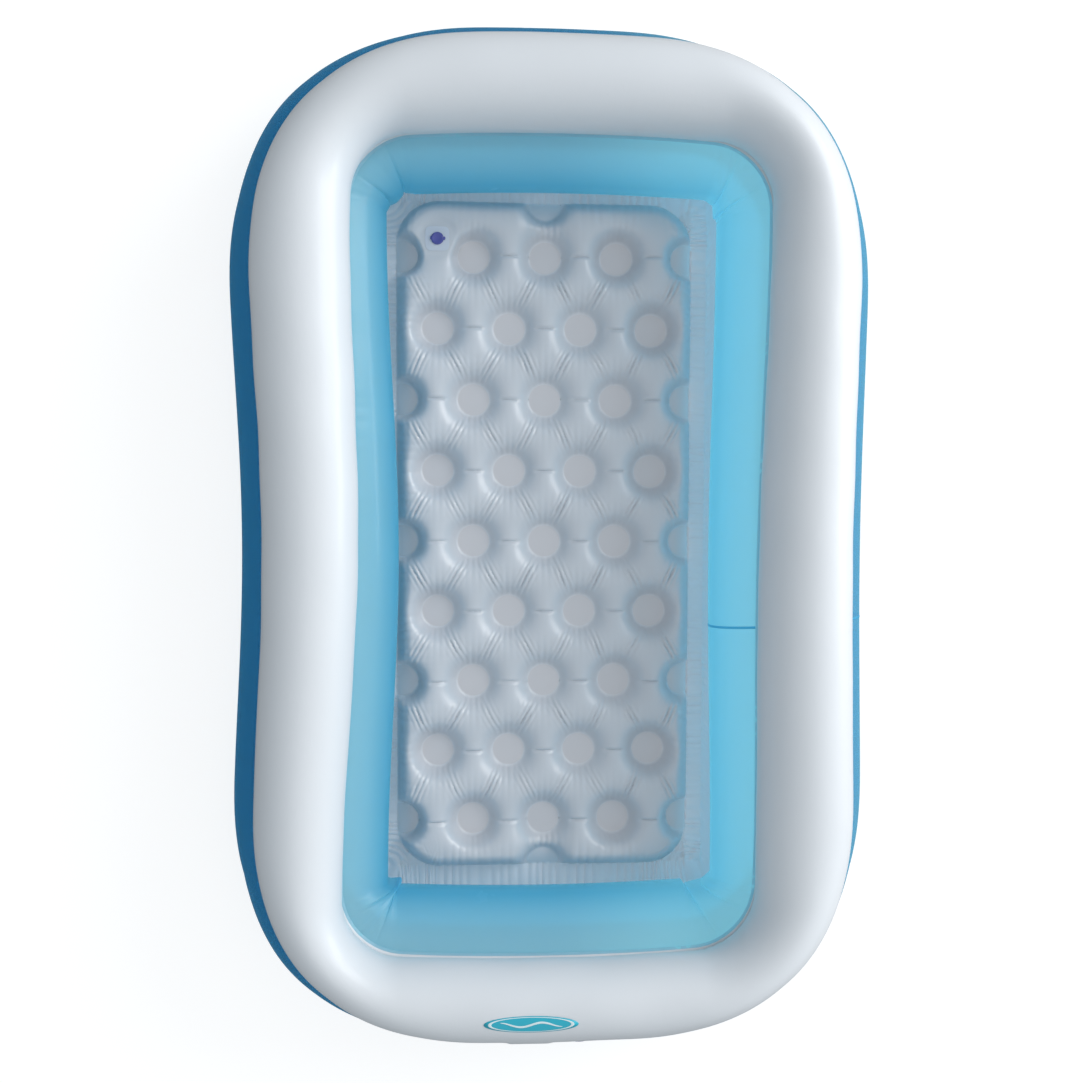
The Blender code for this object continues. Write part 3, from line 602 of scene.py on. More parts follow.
def spot_rows():
    """Places of the spots, row by row, with one more or one less in every second row."""
    side_rows = int((FLOOR_HALF[1] - SPOT_RADIUS) / SPOT_PITCH[1])
    rows = []
    for k in range(-side_rows, side_rows + 1):
        count = 2 * SIDE_SPOTS + (k + 1) % 2
        xs = (np.arange(count) - (count - 1) / 2) * SPOT_PITCH[0]
        rows.append([np.array((x, k * SPOT_PITCH[1] - SPOT_ROW_SHIFT)) for x in xs])
    return rows


def edge_distance(x, y):
    """How far a point lies inside the edge weld, a rectangle with round corners."""
    dx = np.abs(x) - (FLOOR_HALF[0] - FLOOR_CORNER)
    dy = np.abs(y) - (FLOOR_HALF[1] - FLOOR_CORNER)
    return FLOOR_CORNER - np.where((dx > 0) & (dy > 0), np.hypot(dx, dy), np.maximum(dx, dy))


def is_full_spot(spot):
    return edge_distance(*spot) > SPOT_RADIUS + LAP_CLEARANCE


SPOT_ROWS = spot_rows()
SPOTS = [spot for row in SPOT_ROWS for spot in row]
FULL_SPOTS = [spot for spot in SPOTS if is_full_spot(spot)]
NOTCHES = [np.array((0, side * (FLOOR_HALF[1] - NOTCH_INSET))) for side in (-1, 1)]
EDGE_SPOTS = [spot for spot in SPOTS if not is_full_spot(spot)] + NOTCHES
FLOOR_VALVE = np.array(((1 - 2 * SIDE_SPOTS) * SPOT_PITCH[0] / 2,
                        SPOT_ROWS[-1][0][1] + VALVE_FROM_ROW))
print(len(FULL_SPOTS), "spot welds and", len(EDGE_SPOTS), "at the edge")

# %% [markdown]
# Pillows between the welds
#
# Air lifts the top film wherever it is free, and a weld holds it down over some distance. So the height
# comes from one number, how free the film is: it is 0 on a weld and grows with the distance from each of
# them. A formula like this costs far less than a cloth simulation and has no pressure to tune.

# %% Height between the welds
SPOT_LIFT = 0.016
OPEN_CREST = 0.0560
SPOT_EASE, EDGE_EASE = 0.048, 0.022
LEVEL_EASE, RIM_FILLET = 0.010, 0.0025
FREE_MOST, CREST_FLAT = 0.245, 4
EDGE_RUN, EDGE_SLOPE, EDGE_SAG = 0.027, 0.070, 0.22


def spot_distance(x, y, spot):
    """Distance to a weld's rim, with a small fillet: it leaves 0 gently."""
    away = np.clip(np.hypot(x - spot[0], y - spot[1]) - SPOT_RADIUS, 0, None)
    return np.sqrt(away ** 2 + RIM_FILLET ** 2) - RIM_FILLET


def nearest_spot(x, y, spots):
    return np.min([spot_distance(x, y, spot) for spot in spots], axis=0)


def freedom(x, y, spots, ease):
    """How free the film is of these spots: 0 on a weld, and most of all between three of them."""
    share = np.ones_like(x)
    for spot in spots:
        share *= 1 - np.exp(-spot_distance(x, y, spot) / ease)
    return share


def edge_share(x, y):
    """The share of its full height that the edge weld leaves to the film: it stands up steeply there."""
    rim = np.clip(edge_distance(x, y) / EDGE_RUN, 0, 1)
    slope = np.clip(edge_distance(x, y) / EDGE_SLOPE, 0, 1)
    share = np.sqrt(rim * (2 - rim)) * (1 - EDGE_SAG * (1 - slope) ** 2)
    on_spot = np.exp(-nearest_spot(x, y, FULL_SPOTS) / LEVEL_EASE)
    return share * (1 - on_spot) + on_spot


def pillow(x, y):
    """Height of the film without its folds."""
    weld, lift = FILM + GAP, SPOT_LIFT + GAP / 2
    free = freedom(x, y, FULL_SPOTS, SPOT_EASE) * freedom(x, y, EDGE_SPOTS, EDGE_EASE) / FREE_MOST
    free = free / (1 + free ** CREST_FLAT) ** (1 / CREST_FLAT)
    return weld + (lift + (OPEN_CREST - lift) * free - weld) * edge_share(x, y)


between = (SPOT_ROWS[0][0] + SPOT_ROWS[0][1] + SPOT_ROWS[1][1]) / 3
print("between three spots the film stands", round(float(pillow(*between[:, None])[0]), 4), "high")

# %% [markdown]
# The film's fine folds
#
# The film was flat, and a dimpled surface has too much length for it in some directions. It gets rid of
# that in sharp little folds: bundles that run from a spot to its neighbours in the next rows, a fringe
# above and below each spot, and one thin crease midway between neighbours in a row.

# %% Folds of the top film
BUNDLE_WIDTH, BUNDLE_PITCH, BUNDLE_DEPTH = 0.0105, 0.0078, 0.0052
FRINGE_PITCH, FRINGE_DEPTH, FRINGE_REACH = 0.0084, 0.0026, 0.020
CREASE_DEPTH, CREASE_WIDTH, CREASE_HALF = 0.0040, 0.0024, 0.016
EDGE_PITCH, EDGE_GATHER, EDGE_REACH = 0.0155, 0.0042, 0.020
WELD_EASE, MEAN_RIDGE = 0.004, 0.64


def valley(turns):
    """Narrow valleys at whole numbers, round ridges between them, and 0 on the mean of both."""
    return np.abs(np.sin(math.pi * turns)) - MEAN_RIDGE


def bundle(x, y, start, end):
    """Folds along the line from one spot to the next, between their rims."""
    way = end - start
    length = np.hypot(*way)
    way = way / length
    dx, dy = x - start[0], y - start[1]
    along, across = dx * way[0] + dy * way[1], dy * way[0] - dx * way[1]
    share = np.clip((along - SPOT_RADIUS) / (length - 2 * SPOT_RADIUS), 0, 1)
    turns = across / BUNDLE_PITCH + chance.random() + 0.25 * np.sin(3 * share + 6 * chance.random())
    fade = np.exp(-(across / BUNDLE_WIDTH) ** 2) * np.sin(share * math.pi) ** 1.2
    return BUNDLE_DEPTH * (0.6 + 0.4 * chance.random()) * fade * valley(turns)


def fringe(x, y, spot):
    """Folds above and below a spot, which fan out a little."""
    dx, dy = x - spot[0], y - spot[1]
    away = np.hypot(dx, dy)
    out = np.clip(away - SPOT_RADIUS, 0, None)
    upright = np.clip(np.abs(dy) / np.maximum(away, 1e-6), 0, 1) ** 4
    lean = dx * SPOT_RADIUS / np.maximum(away, SPOT_RADIUS) * 0.4 + dx * 0.6
    turns = lean / FRINGE_PITCH + chance.random() + 0.3 * np.sign(dy)
    fade = np.exp(-out / FRINGE_REACH) * np.clip(out / WELD_EASE, 0, 1)
    return FRINGE_DEPTH * upright * valley(turns) * fade


def row_crease(x, y, left, right):
    """One thin crease along the row, midway between two spots."""
    dx, dy = x - (left[0] + right[0]) / 2, y - left[1] - 0.002 * (chance.random() - 0.5)
    return -CREASE_DEPTH * np.exp(-(dy / CREASE_WIDTH) ** 2 - (dx / CREASE_HALF) ** 4)


def edge_run(x, y):
    """A length along the edge weld, for folds that cross it."""
    angle = np.arctan2(y * FLOOR_HALF[0], x * FLOOR_HALF[1])
    from_x, from_y = FLOOR_HALF[0] - np.abs(x), FLOOR_HALF[1] - np.abs(y)
    corner = np.clip(1 - from_x / FLOOR_CORNER, 0, 1) * np.clip(1 - from_y / FLOOR_CORNER, 0, 1)
    side = np.where(from_x < from_y, y, x)
    return side * (1 - corner) + corner * angle * FLOOR_HALF[0]


def edge_gathers(x, y):
    """Folds that cross the edge weld, closer in some places than in others."""
    run, inside = edge_run(x, y), edge_distance(x, y)
    turns = run / EDGE_PITCH + 0.35 * np.sin(run / 0.031) + 0.2 * np.sin(run / 0.0117)
    fade = np.where(inside > 0, np.exp(-inside / EDGE_REACH), 1) * (0.75 + 0.25 * np.sin(run / 0.053))
    return EDGE_GATHER * (valley(turns) + 0.6) * fade


def folds(x, y):
    """All folds between the spots. The order of the pieces fixes the order of the random draws."""
    total = np.zeros_like(x)
    for row, following in zip(SPOT_ROWS, SPOT_ROWS[1:]):
        for spot in row:
            near = [other for other in following if abs(other[0] - spot[0]) < SPOT_PITCH[0]]
            total += sum(bundle(x, y, spot, other) for other in near)
    for row in SPOT_ROWS:
        total += sum(row_crease(x, y, left, right) for left, right in zip(row, row[1:]))
    for spot in SPOTS + NOTCHES:
        total += fringe(x, y, spot)
    return total


# %% [markdown]
# The valve's place on the floor
#
# The floor's valve stands in the first pillow. Its plate is flat, so the pillow swells softly up to the
# height of the plate, and the folds end before it.

# %% Height of the top film
FLOOR_CREST = 0.042
VALVE_PAD, PAD_EASE, PAD_REACH = 0.0245, 0.013, 0.085


def top_height(x, y):
    """Height of the underside of the top film."""
    height = pillow(x, y)
    nearest = nearest_spot(x, y, SPOTS + NOTCHES)
    inside = edge_distance(x, y)
    free = np.clip(nearest / WELD_EASE, 0, 1) * np.clip(inside / WELD_EASE, 0, 1)
    height = height + folds(x, y) * free
    height += edge_gathers(x, y) * np.where(inside > 0, np.clip(nearest / WELD_EASE, 0, 1), 1)
    from_pad = np.clip(np.hypot(x - FLOOR_VALVE[0], y - FLOOR_VALVE[1]) - VALVE_PAD, 0, None)
    swell = np.clip(1 - from_pad / PAD_REACH, 0, 1) ** 2 * np.clip(nearest / PAD_EASE, 0, 1)
    height += (FLOOR_CREST - height) * swell * edge_share(x, y)
    pad = np.clip(from_pad / PAD_EASE, 0, 1)
    return FLOOR_CREST + (height - FLOOR_CREST) * pad ** 2 * (3 - 2 * pad)


# %% [markdown]
# A grid that knows the welds
#
# A plain grid would leave stairs at the rims of the round welds. So the points that lie next to a rim are
# moved onto it before the height is worked out. Outside the fine grid the flange is hidden under the blue
# ring, and a coarse border is enough.

# %% Top film of the floor
FINE_HALF = np.array((0.282, 0.617))
FINE_STEP, FINE_SNAP = np.array((0.0020, 0.0025)), 0.0011
BORDER_ROWS = 4
VALVE_HOLE = 0.0095


def snap_to_circle(points, centre, radius, reach):
    """Move the points that lie near a circle onto it."""
    away = points - centre
    distance = np.hypot(away[:, 0], away[:, 1])
    near = np.abs(distance - radius) < reach
    points[near] = centre + away[near] * (radius / distance[near])[:, None]


def flange_outline(directions):
    """The floor's outer edge under the lap of the blue ring, where each direction meets it."""
    foot = plan["half"] + plan["bulge_in"] - FOOT_ROUNDING
    across = foot - LAP_WIDTH + LAP_CLEARANCE
    edge = plan["middle"] - plan["outward"] * across[:, None] - FLOOR_MIDDLE
    angle = np.arctan2(edge[:, 1], edge[:, 0])
    order = np.argsort(angle)
    reach = np.interp(directions, angle[order], np.hypot(*edge[order].T), period=2 * math.pi)
    return np.stack((np.cos(directions), np.sin(directions)), axis=1) * reach[:, None]


def weld_grid(step, spots, snap):
    """A flat grid of points. Those nearer than snap to the rim of a spot are moved onto it."""
    counts = np.round(2 * FINE_HALF / step).astype(int)
    xs, ys = (np.linspace(-half, half, count + 1) for half, count in zip(FINE_HALF, counts))
    gx, gy = np.meshgrid(xs, ys, indexing="ij")
    points = np.stack((gx.ravel(), gy.ravel()), axis=1)
    for spot in spots:
        snap_to_circle(points, spot, SPOT_RADIUS, snap)
    return points, gx.shape


def border(points, shape):
    """Rings of points from the rim of the fine grid to the outline."""
    index = np.arange(shape[0] * shape[1]).reshape(shape)
    rim = np.concatenate((index[:-1, 0], index[-1, :-1], index[:0:-1, -1], index[0, :0:-1]))
    start = points[rim]
    end = flange_outline(np.arctan2(start[:, 1], start[:, 0]))
    rows = [start + (end - start) * (k / BORDER_ROWS) for k in range(1, BORDER_ROWS + 1)]
    first, faces = rim, []
    for k, row in enumerate(rows):
        current = len(points) + k * len(rim) + np.arange(len(rim))
        faces.append(np.stack((first, current, np.roll(current, -1), np.roll(first, -1)), axis=1))
        first = current
    return np.concatenate((points, *rows)), np.concatenate(faces)


def floor_top_points():
    points, shape = weld_grid(FINE_STEP, FULL_SPOTS + EDGE_SPOTS, FINE_SNAP)
    snap_to_circle(points, FLOOR_VALVE, VALVE_HOLE, FINE_SNAP)
    faces = grid_faces(*shape, closed=False)
    away = np.hypot(*(points[faces].mean(axis=1) - FLOOR_VALVE).T)
    faces = faces[away > VALVE_HOLE]
    points, rim_faces = border(points, shape)
    height = np.maximum(top_height(*points.T), FILM + GAP)
    beyond = (np.abs(points) > FINE_HALF - FINE_STEP / 2).any(axis=1)
    height[beyond] = FILM + GAP
    return np.column_stack((points + FLOOR_MIDDLE, height)), np.concatenate((faces, rim_faces))


floor_points, floor_faces = floor_top_points()
floor_top = make_film("floor_top", floor_points, floor_faces, FILM, 1)
print("the floor's crest is", round(floor_points[:, 2].max(), 4), "m high")

# %% [markdown]
# The bottom film
#
# The lower film lies on the ground. It carries the same welds, so it is drawn up to each of them.

# %% Bottom film of the floor
BASE_STEP, BASE_SNAP = 0.006, 0.0027
BASE_DRAW = 0.022


def base_height(x, y):
    """0 on the ground, and the height of the weld at a spot."""
    lifted = SPOT_LIFT - GAP / 2 - FILM
    height = np.zeros_like(x)
    for sx, sy in FULL_SPOTS + EDGE_SPOTS:
        share = np.clip((np.hypot(x - sx, y - sy) - SPOT_RADIUS) / BASE_DRAW, 0, 1)
        height = np.maximum(height, lifted * (1 - np.sin(share * math.pi / 2)))
    return height * np.where(edge_distance(x, y) > 0, edge_share(x, y), 0)


def floor_base_points():
    points, shape = weld_grid(BASE_STEP, FULL_SPOTS, BASE_SNAP)
    points, rim_faces = border(points, shape)
    points = np.column_stack((points + FLOOR_MIDDLE, base_height(*points.T)))
    return points, np.concatenate((grid_faces(*shape, closed=False), rim_faces))


floor_base = make_film("floor_base", *floor_base_points(), FILM, 1)

# %% [markdown]
# Valves
#
# Each air space has the same push-in valve: a soft plate welded to the film, a thin skirt, a tube that
# can be pulled out to blow through it, a plug on a strap and a non-return flap. Turned pieces are
# profiles spun about the valve's own axis.

# %% Turned and flat pieces
TURN_STEPS = 48


def lathe(name, profile, closed=True):
    """Spin a profile of (radius, height) points about Z."""
    angles = 2 * math.pi * np.arange(TURN_STEPS) / TURN_STEPS
    radius, height = np.array(profile).T
    ring = np.stack((np.cos(angles)[:, None] * radius, np.sin(angles)[:, None] * radius,
                     np.repeat(height[None], TURN_STEPS, 0)), axis=2)
    if closed:
        ring = np.concatenate((ring, ring[:, :1]), axis=1)
    return clean(make_object(name, ring, grid_faces(*ring.shape[:2]).tolist()))


def slab(name, outline, low, high):
    """A flat piece with rounded edges, from its outline in X and Y."""
    outline = np.array(outline)
    middle, edge = outline.mean(axis=0), (high - low) * 0.3
    inward = middle - outline
    inward = inward / np.linalg.norm(inward, axis=1)[:, None]
    rings = [(outline + inward * edge, low), (outline, low + edge), (outline, high - edge),
             (outline + inward * edge, high)]
    points = np.stack([np.column_stack((ring, np.full(len(ring), z))) for ring, z in rings], axis=1)
    count, sides = len(rings), range(len(outline))
    faces = grid_faces(len(outline), count).tolist()
    faces += [[k * count for k in sides], [k * count + count - 1 for k in reversed(sides)]]
    return clean(make_object(name, points, faces))


def round_box(x0, x1, width, radius, steps=6):
    """Outline of a strip along X with round corners."""
    points = []
    for k, (x, y) in enumerate(((x1, width / 2), (x0, width / 2), (x0, -width / 2), (x1, -width / 2))):
        hub = (x - math.copysign(radius, x - (x0 + x1) / 2), y - math.copysign(radius, y))
        for j in range(steps + 1):
            angle = math.pi / 2 * (k + j / steps)
            points.append((hub[0] + radius * math.cos(angle), hub[1] + radius * math.sin(angle)))
    return points


def join_pieces(name, *pieces):
    """One piece of several that are moulded together."""
    work = bmesh.new()
    for piece in pieces:
        work.from_mesh(piece.data)
        bpy.data.objects.remove(piece)
    mesh = bpy.data.meshes.new(name)
    work.to_mesh(mesh)
    work.free()
    mesh.set_sharp_from_angle(angle=SHARP_FROM)
    return add_to_scene(name, mesh)


# %% [markdown]
# The plate follows the film
#
# A plate on the ring has to bend with the ring. Its height over each place is read off the ring's own
# section, so both always touch.

# %% Pieces of one valve
PLATE_POWER = 5


def film_under(valve):
    """The outline of the film across the valve's plate, in the valve's own Y and Z."""
    if valve == "floor":
        return np.array(((-PLATE_SIDE, 0.0), (PLATE_SIDE, 0.0)))
    points = {"upper": upper_points, "lower": lower_points}[valve]
    place = valve_place(valve)
    x = place.translation.x
    foot = [k for k in range(len(points)) if points[k, 1, 1] < 0]
    row = points[min(foot, key=lambda k: abs(points[k, 1, 0] - x))]
    local = [place.inverted() @ Vector((x, y, z)) for _, y, z in row]
    near = sorted((p.y, p.z) for p in local if abs(p.y) < PLATE_SIDE and abs(p.z) < PLATE_SIDE / 2)
    return np.array(near)


def valve_plate(valve):
    """The welded plate: a rounded square with a round hole, laid on the film."""
    path = film_under(valve)
    turn = 2 * math.pi * np.arange(2 * TURN_STEPS) / (2 * TURN_STEPS)
    unit = np.stack((np.cos(turn), np.sin(turn)), axis=1)
    square = PLATE_SIDE / 2 / (np.abs(unit) ** PLATE_POWER).sum(axis=1) ** (1 / PLATE_POWER)
    rings = []
    top, edge = PLATE_TOP, PLATE_THICKNESS * 0.4
    for share, height in ((0, GAP), (1, GAP), (1, top - 2 * edge), (0.985, top - edge),
                          (0.9, top - edge), (0.6, top - edge / 2), (0.3, top), (0, top), (0, GAP)):
        radius = VALVE_HOLE + (square - VALVE_HOLE) * share
        flat = unit * radius[:, None]
        rings.append(np.column_stack((flat, np.interp(flat[:, 1], *path.T) + height)))
    points = np.stack(rings, axis=1)
    return clean(make_object(valve + "_plate", points, grid_faces(*points.shape[:2]).tolist()))


def valve_skirt(valve):
    """The thin skirt inside the plate's hole, down to the tube."""
    outer, inner = VALVE_HOLE - GAP, STEM_RADIUS + GAP
    steps = [(outer, PLATE_TOP), (outer, -SKIRT_DEPTH * 0.35), (outer - 0.0004, -SKIRT_DEPTH * 0.6),
             (inner + 0.0009, -SKIRT_DEPTH * 0.92), (inner, -SKIRT_DEPTH)]
    back = [(inner, SKIRT_THICKNESS - SKIRT_DEPTH),
            (inner + 0.0005, SKIRT_THICKNESS - SKIRT_DEPTH * 0.93),
            (outer - 0.0011, -SKIRT_DEPTH * 0.5), (outer - SKIRT_THICKNESS, -SKIRT_DEPTH * 0.3),
            (outer - SKIRT_THICKNESS, PLATE_TOP)]
    return lathe(valve + "_skirt", steps + back)


def valve_stem(valve):
    """The tube with its lip, and a tab on which the strap turns."""
    round_off = LIP_THICKNESS * 0.3
    profile = [(LIP_RADIUS, LIP_TOP - round_off), (LIP_RADIUS, LIP_LOW + round_off),
               (LIP_RADIUS - round_off, LIP_LOW), (STEM_RADIUS, LIP_LOW), (STEM_RADIUS, -STEM_DEPTH),
               (BORE_RADIUS, -STEM_DEPTH), (BORE_RADIUS, LIP_TOP), (LIP_RADIUS - round_off, LIP_TOP)]
    tab = slab(valve + "_tab", round_box(STEM_RADIUS + GAP, STRAP_REACH - GAP / 2, STRAP_WIDTH, 0.0015),
               LIP_LOW + LIP_THICKNESS / 10, LIP_TOP - LIP_THICKNESS / 10)
    return join_pieces(valve + "_tube", lathe(valve + "_tube_body", profile), tab)


def valve_plug(valve):
    """The plug: a capped nose under a dished head with a raised rim, and its strap."""
    nose, top = BORE_RADIUS - NOSE_CLEARANCE, HEAD_LOW + HEAD_THICKNESS
    rim, dish = 0.0014, 0.0005
    profile = [(0.0, top - dish), (HEAD_RADIUS - 2 * rim, top - dish), (HEAD_RADIUS - rim * 1.4, top),
               (HEAD_RADIUS - dish, top), (HEAD_RADIUS, top - dish), (HEAD_RADIUS, HEAD_LOW + dish / 2),
               (HEAD_RADIUS - dish / 2, HEAD_LOW), (nose, HEAD_LOW), (nose, HEAD_LOW - NOSE_LENGTH * 0.7),
               (nose - dish, HEAD_LOW - NOSE_LENGTH), (0.0, HEAD_LOW - NOSE_LENGTH)]
    low = HEAD_LOW + STRAP_THICKNESS / 8
    strap = slab(valve + "_strap", round_box(nose, STRAP_REACH - GAP / 2, STRAP_WIDTH, 0.0012),
                 low, low + STRAP_THICKNESS)
    grip = slab(valve + "_grip", round_box(-HEAD_RADIUS - 0.0024, -HEAD_RADIUS + 0.003, 0.006, 0.0022),
                HEAD_LOW + 0.0004, top - 0.0006)
    head = lathe(valve + "_head", profile, closed=False)
    return join_pieces(valve + "_cap", head, strap, grip)


def valve_flap(valve):
    """The non-return flap: a disc on a small ear."""
    low = -STEM_DEPTH - GAP - FLAP_THICKNESS
    edge = FLAP_THICKNESS / 3
    profile = [(0.0, low + FLAP_THICKNESS), (FLAP_RADIUS - edge, low + FLAP_THICKNESS),
               (FLAP_RADIUS, low + 2 * edge), (FLAP_RADIUS, low + edge), (FLAP_RADIUS - edge, low),
               (0.0, low)]
    outline = round_box(FLAP_RADIUS / 2, FLAP_RADIUS + STRAP_THICKNESS, FLAP_HINGE, 0.0004)
    ear = slab(valve + "_ear", outline, low + FLAP_THICKNESS / 4, low + FLAP_THICKNESS * 3 / 4)
    return join_pieces(valve + "_flap_disc", lathe(valve + "_disc", profile, closed=False), ear)


valve_pieces = {}
for valve in ("floor", "upper", "lower"):
    made = {"base": valve_plate(valve), "skirt": valve_skirt(valve), "stem": valve_stem(valve),
            "plug": valve_plug(valve), "flap": valve_flap(valve)}
    for piece in made.values():
        piece.data.transform(valve_place(valve))
    valve_pieces[valve] = made
    print(valve, "valve:", ", ".join(piece.name for piece in made.values()))

# %% [markdown]
# Finishes
#
# All the films are soft vinyl. What differs is the pigment: dense white, clear blue and a frosted clear.
# One node group gives them the same skin, a fine grain and slow changes of gloss where hands and the
# rollers of the welding machine have been. Noise in the piece's own coordinates needs no unwrapping.

# %% Vinyl skin group
WHITE = (1.0, 1.0, 1.0)


def rgba(value):
    return (*value, 1.0) if isinstance(value, tuple) and len(value) == 3 else value


def feed(tree, node, sockets):
    """Give a node's inputs a number, a colour, or what another node puts out."""
    for name, value in sockets.items():
        if isinstance(value, bpy.types.NodeSocket):
            tree.links.new(value, node.inputs[name])
        else:
            socket = node.inputs[name]
            socket.default_value = rgba(value) if socket.type == "RGBA" else value


def add_node(tree, kind, sockets={}, **settings):
    node = tree.nodes.new(kind)
    for key, value in settings.items():
        setattr(node, key, value)
    feed(tree, node, sockets)
    return node


def new_group(name, inputs, outputs):
    """An empty node group. A number stands for a value socket, three numbers for a colour."""
    group = bpy.data.node_groups.new(name, "ShaderNodeTree")
    for side, sockets in (("INPUT", inputs), ("OUTPUT", outputs)):
        for label, value in sockets.items():
            kind = "NodeSocketColor" if isinstance(value, tuple) else "NodeSocketFloat"
            socket = group.interface.new_socket(label, in_out=side, socket_type=kind)
            socket.default_value = rgba(value)
    return group, group.nodes.new("NodeGroupInput").outputs, group.nodes.new("NodeGroupOutput")


def math_node(tree, operation, first, second=0.0):
    node = add_node(tree, "ShaderNodeMath", {0: first, 1: second}, operation=operation)
    return node.outputs["Value"]


def object_place(tree):
    return add_node(tree, "ShaderNodeTexCoord").outputs["Object"]


def noise(tree, place, scale, detail=3.0):
    sockets = {"Scale": scale, "Detail": detail, "Vector": place}
    return add_node(tree, "ShaderNodeTexNoise", sockets).outputs["Fac"]


def make_skin_group():
    group, entry, leave = new_group("vinyl_skin", {"Roughness": 0.3, "Unevenness": 0.1, "Grain": 1.0},
                                    {"Roughness": 0.0, "Height": 0.0})
    place = object_place(group)
    slow = math_node(group, "SUBTRACT", noise(group, place, 14.0), 0.5)
    change = math_node(group, "MULTIPLY", slow, entry["Unevenness"])
    grain = math_node(group, "MULTIPLY", noise(group, place, 900.0, 1.0), entry["Grain"])
    soft = math_node(group, "MULTIPLY", noise(group, place, 60.0, 2.0), 1.4)
    feed(group, leave, {"Roughness": math_node(group, "ADD", change, entry["Roughness"]),
                        "Height": math_node(group, "ADD", grain, soft)})
    return group


skin_group = make_skin_group()
print("group", skin_group.name, "with", len(skin_group.nodes), "nodes")

# %% [markdown]
# Painted light by height
#
# A clear film is painted paler towards a seam: painted light for the pale flanges and the web that show
# through it from behind. One group mixes two colours by the height above the ground. It serves the blue
# wall below its seam, and the floor's film, which gets a painted glow where it lies low on the bright
# ground.

# %% Painted light by height group


def split_place(tree):
    """The place on the piece as three numbers."""
    return add_node(tree, "ShaderNodeSeparateXYZ", {"Vector": object_place(tree)}).outputs


def mix_colours(tree, share, first, second):
    sockets = {"Factor": share, "A": first, "B": second}
    return add_node(tree, "ShaderNodeMix", sockets, data_type="RGBA").outputs["Result"]


def between_0_and_1(tree, value):
    return math_node(tree, "MAXIMUM", math_node(tree, "MINIMUM", value, 1.0))


# Painted light: mixes two colours by height, for a painted paler film at a seam and a painted glow low
# down.
def make_painted_light_by_height_group():
    group, entry, leave = new_group(
        "painted_height_light", {"Film": WHITE, "At the seam": WHITE, "Seam height": 1.0, "Reach": 1.0},
        {"Color": WHITE})
    below = math_node(group, "SUBTRACT", entry["Seam height"], split_place(group)["Z"])
    share = between_0_and_1(group, math_node(group, "DIVIDE", below, entry["Reach"]))
    feed(group, leave, {"Color": mix_colours(group, share, entry["At the seam"], entry["Film"])})
    return group


painted_light_by_height_group = make_painted_light_by_height_group()
print("group", painted_light_by_height_group.name, "with", len(painted_light_by_height_group.nodes), "nodes")

# %% [markdown]
# Painted glow inside the ring
#
# The blue ring is a chamber of clear film. Light comes in through the wall on the window's side and goes
# from film to film, so that side shines more than the other. Following all those paths would take far too
# many samples, so the material adds a small glow, and this group makes it fall off across the pool.

# %% Painted chamber glow group


# Painted glow: scales a colour from the pool's far side up to the window's side.
def make_painted_chamber_glow_group():
    group, entry, leave = new_group(
        "painted_side_glow", {"Color": WHITE, "Far side": 0.2, "Window side": 1.0, "From": 0.0, "To": 1.0},
        {"Color": WHITE})
    sockets = {"Value": split_place(group)["X"], "From Min": entry["From"], "From Max": entry["To"],
               "To Min": entry["Far side"], "To Max": entry["Window side"]}
    share = add_node(group, "ShaderNodeMapRange", sockets, interpolation_type="SMOOTHSTEP")
    sockets = {0: entry["Color"], "Scale": share.outputs["Result"]}
    scale = add_node(group, "ShaderNodeVectorMath", sockets, operation="SCALE")
    feed(group, leave, {"Color": scale.outputs["Vector"]})
    return group


painted_chamber_glow_group = make_painted_chamber_glow_group()
print("group", painted_chamber_glow_group.name, "with", len(painted_chamber_glow_group.nodes), "nodes")

# %% [markdown]
# Colour at the welds
#
# At a round weld the two films are pressed to one, which is clearer and a little darker. The welds stand
# in a regular pattern, so a group can find the nearest one with a few roundings, without a mask image.

# %% Spot tint group


def make_spot_tint_group():
    group, entry, leave = new_group(
        "spot_tint", {"Film": WHITE, "Weld": WHITE, "Radius": 1.0, "Softness": 0.001},
        {"Color": WHITE})
    pitch_x, pitch_y = (float(pitch) for pitch in SPOT_PITCH)
    place = split_place(group)
    x = math_node(group, "SUBTRACT", place["X"], float(FLOOR_MIDDLE[0]))
    y = math_node(group, "SUBTRACT", place["Y"], float(FLOOR_MIDDLE[1] - SPOT_ROW_SHIFT))

    def whole(value, pitch):
        return math_node(group, "ROUND", math_node(group, "DIVIDE", value, pitch))

    def past(value, count, pitch):
        return math_node(group, "SUBTRACT", value, math_node(group, "MULTIPLY", count, pitch))

    row = whole(y, pitch_y)
    odd = math_node(group, "MODULO", math_node(group, "ABSOLUTE", row), 2.0)
    aside = past(x, odd, pitch_x / 2)
    dx, dy = past(aside, whole(aside, pitch_x), pitch_x), past(y, row, pitch_y)
    square = math_node(group, "ADD", math_node(group, "MULTIPLY", dx, dx),
                       math_node(group, "MULTIPLY", dy, dy))
    inside = math_node(group, "SUBTRACT", entry["Radius"], math_node(group, "SQRT", square))
    share = between_0_and_1(group, math_node(group, "DIVIDE", inside, entry["Softness"]))
    for side, half in ((x, FLOOR_HALF[0]), (y, SPOT_ROWS[-1][0][1] + 2 * SPOT_RADIUS)):
        within = math_node(group, "LESS_THAN", math_node(group, "ABSOLUTE", side), float(half))
        share = math_node(group, "MULTIPLY", share, within)
    feed(group, leave, {"Color": mix_colours(group, share, entry["Film"], entry["Weld"])})
    return group


spot_tint_group = make_spot_tint_group()
print("group", spot_tint_group.name, "with", len(spot_tint_group.nodes), "nodes")

# %% [markdown]
# The vinyl itself
#
# A real film lets light through in two ways: some goes straight on in its tint, and some spreads. A
# transparent and a translucent part do the same here. Refraction would be lost on a film of 0.3 mm. The
# inner wall of the blue ring is milkier than the outer one, and a coat gives the calendered side its
# gloss.

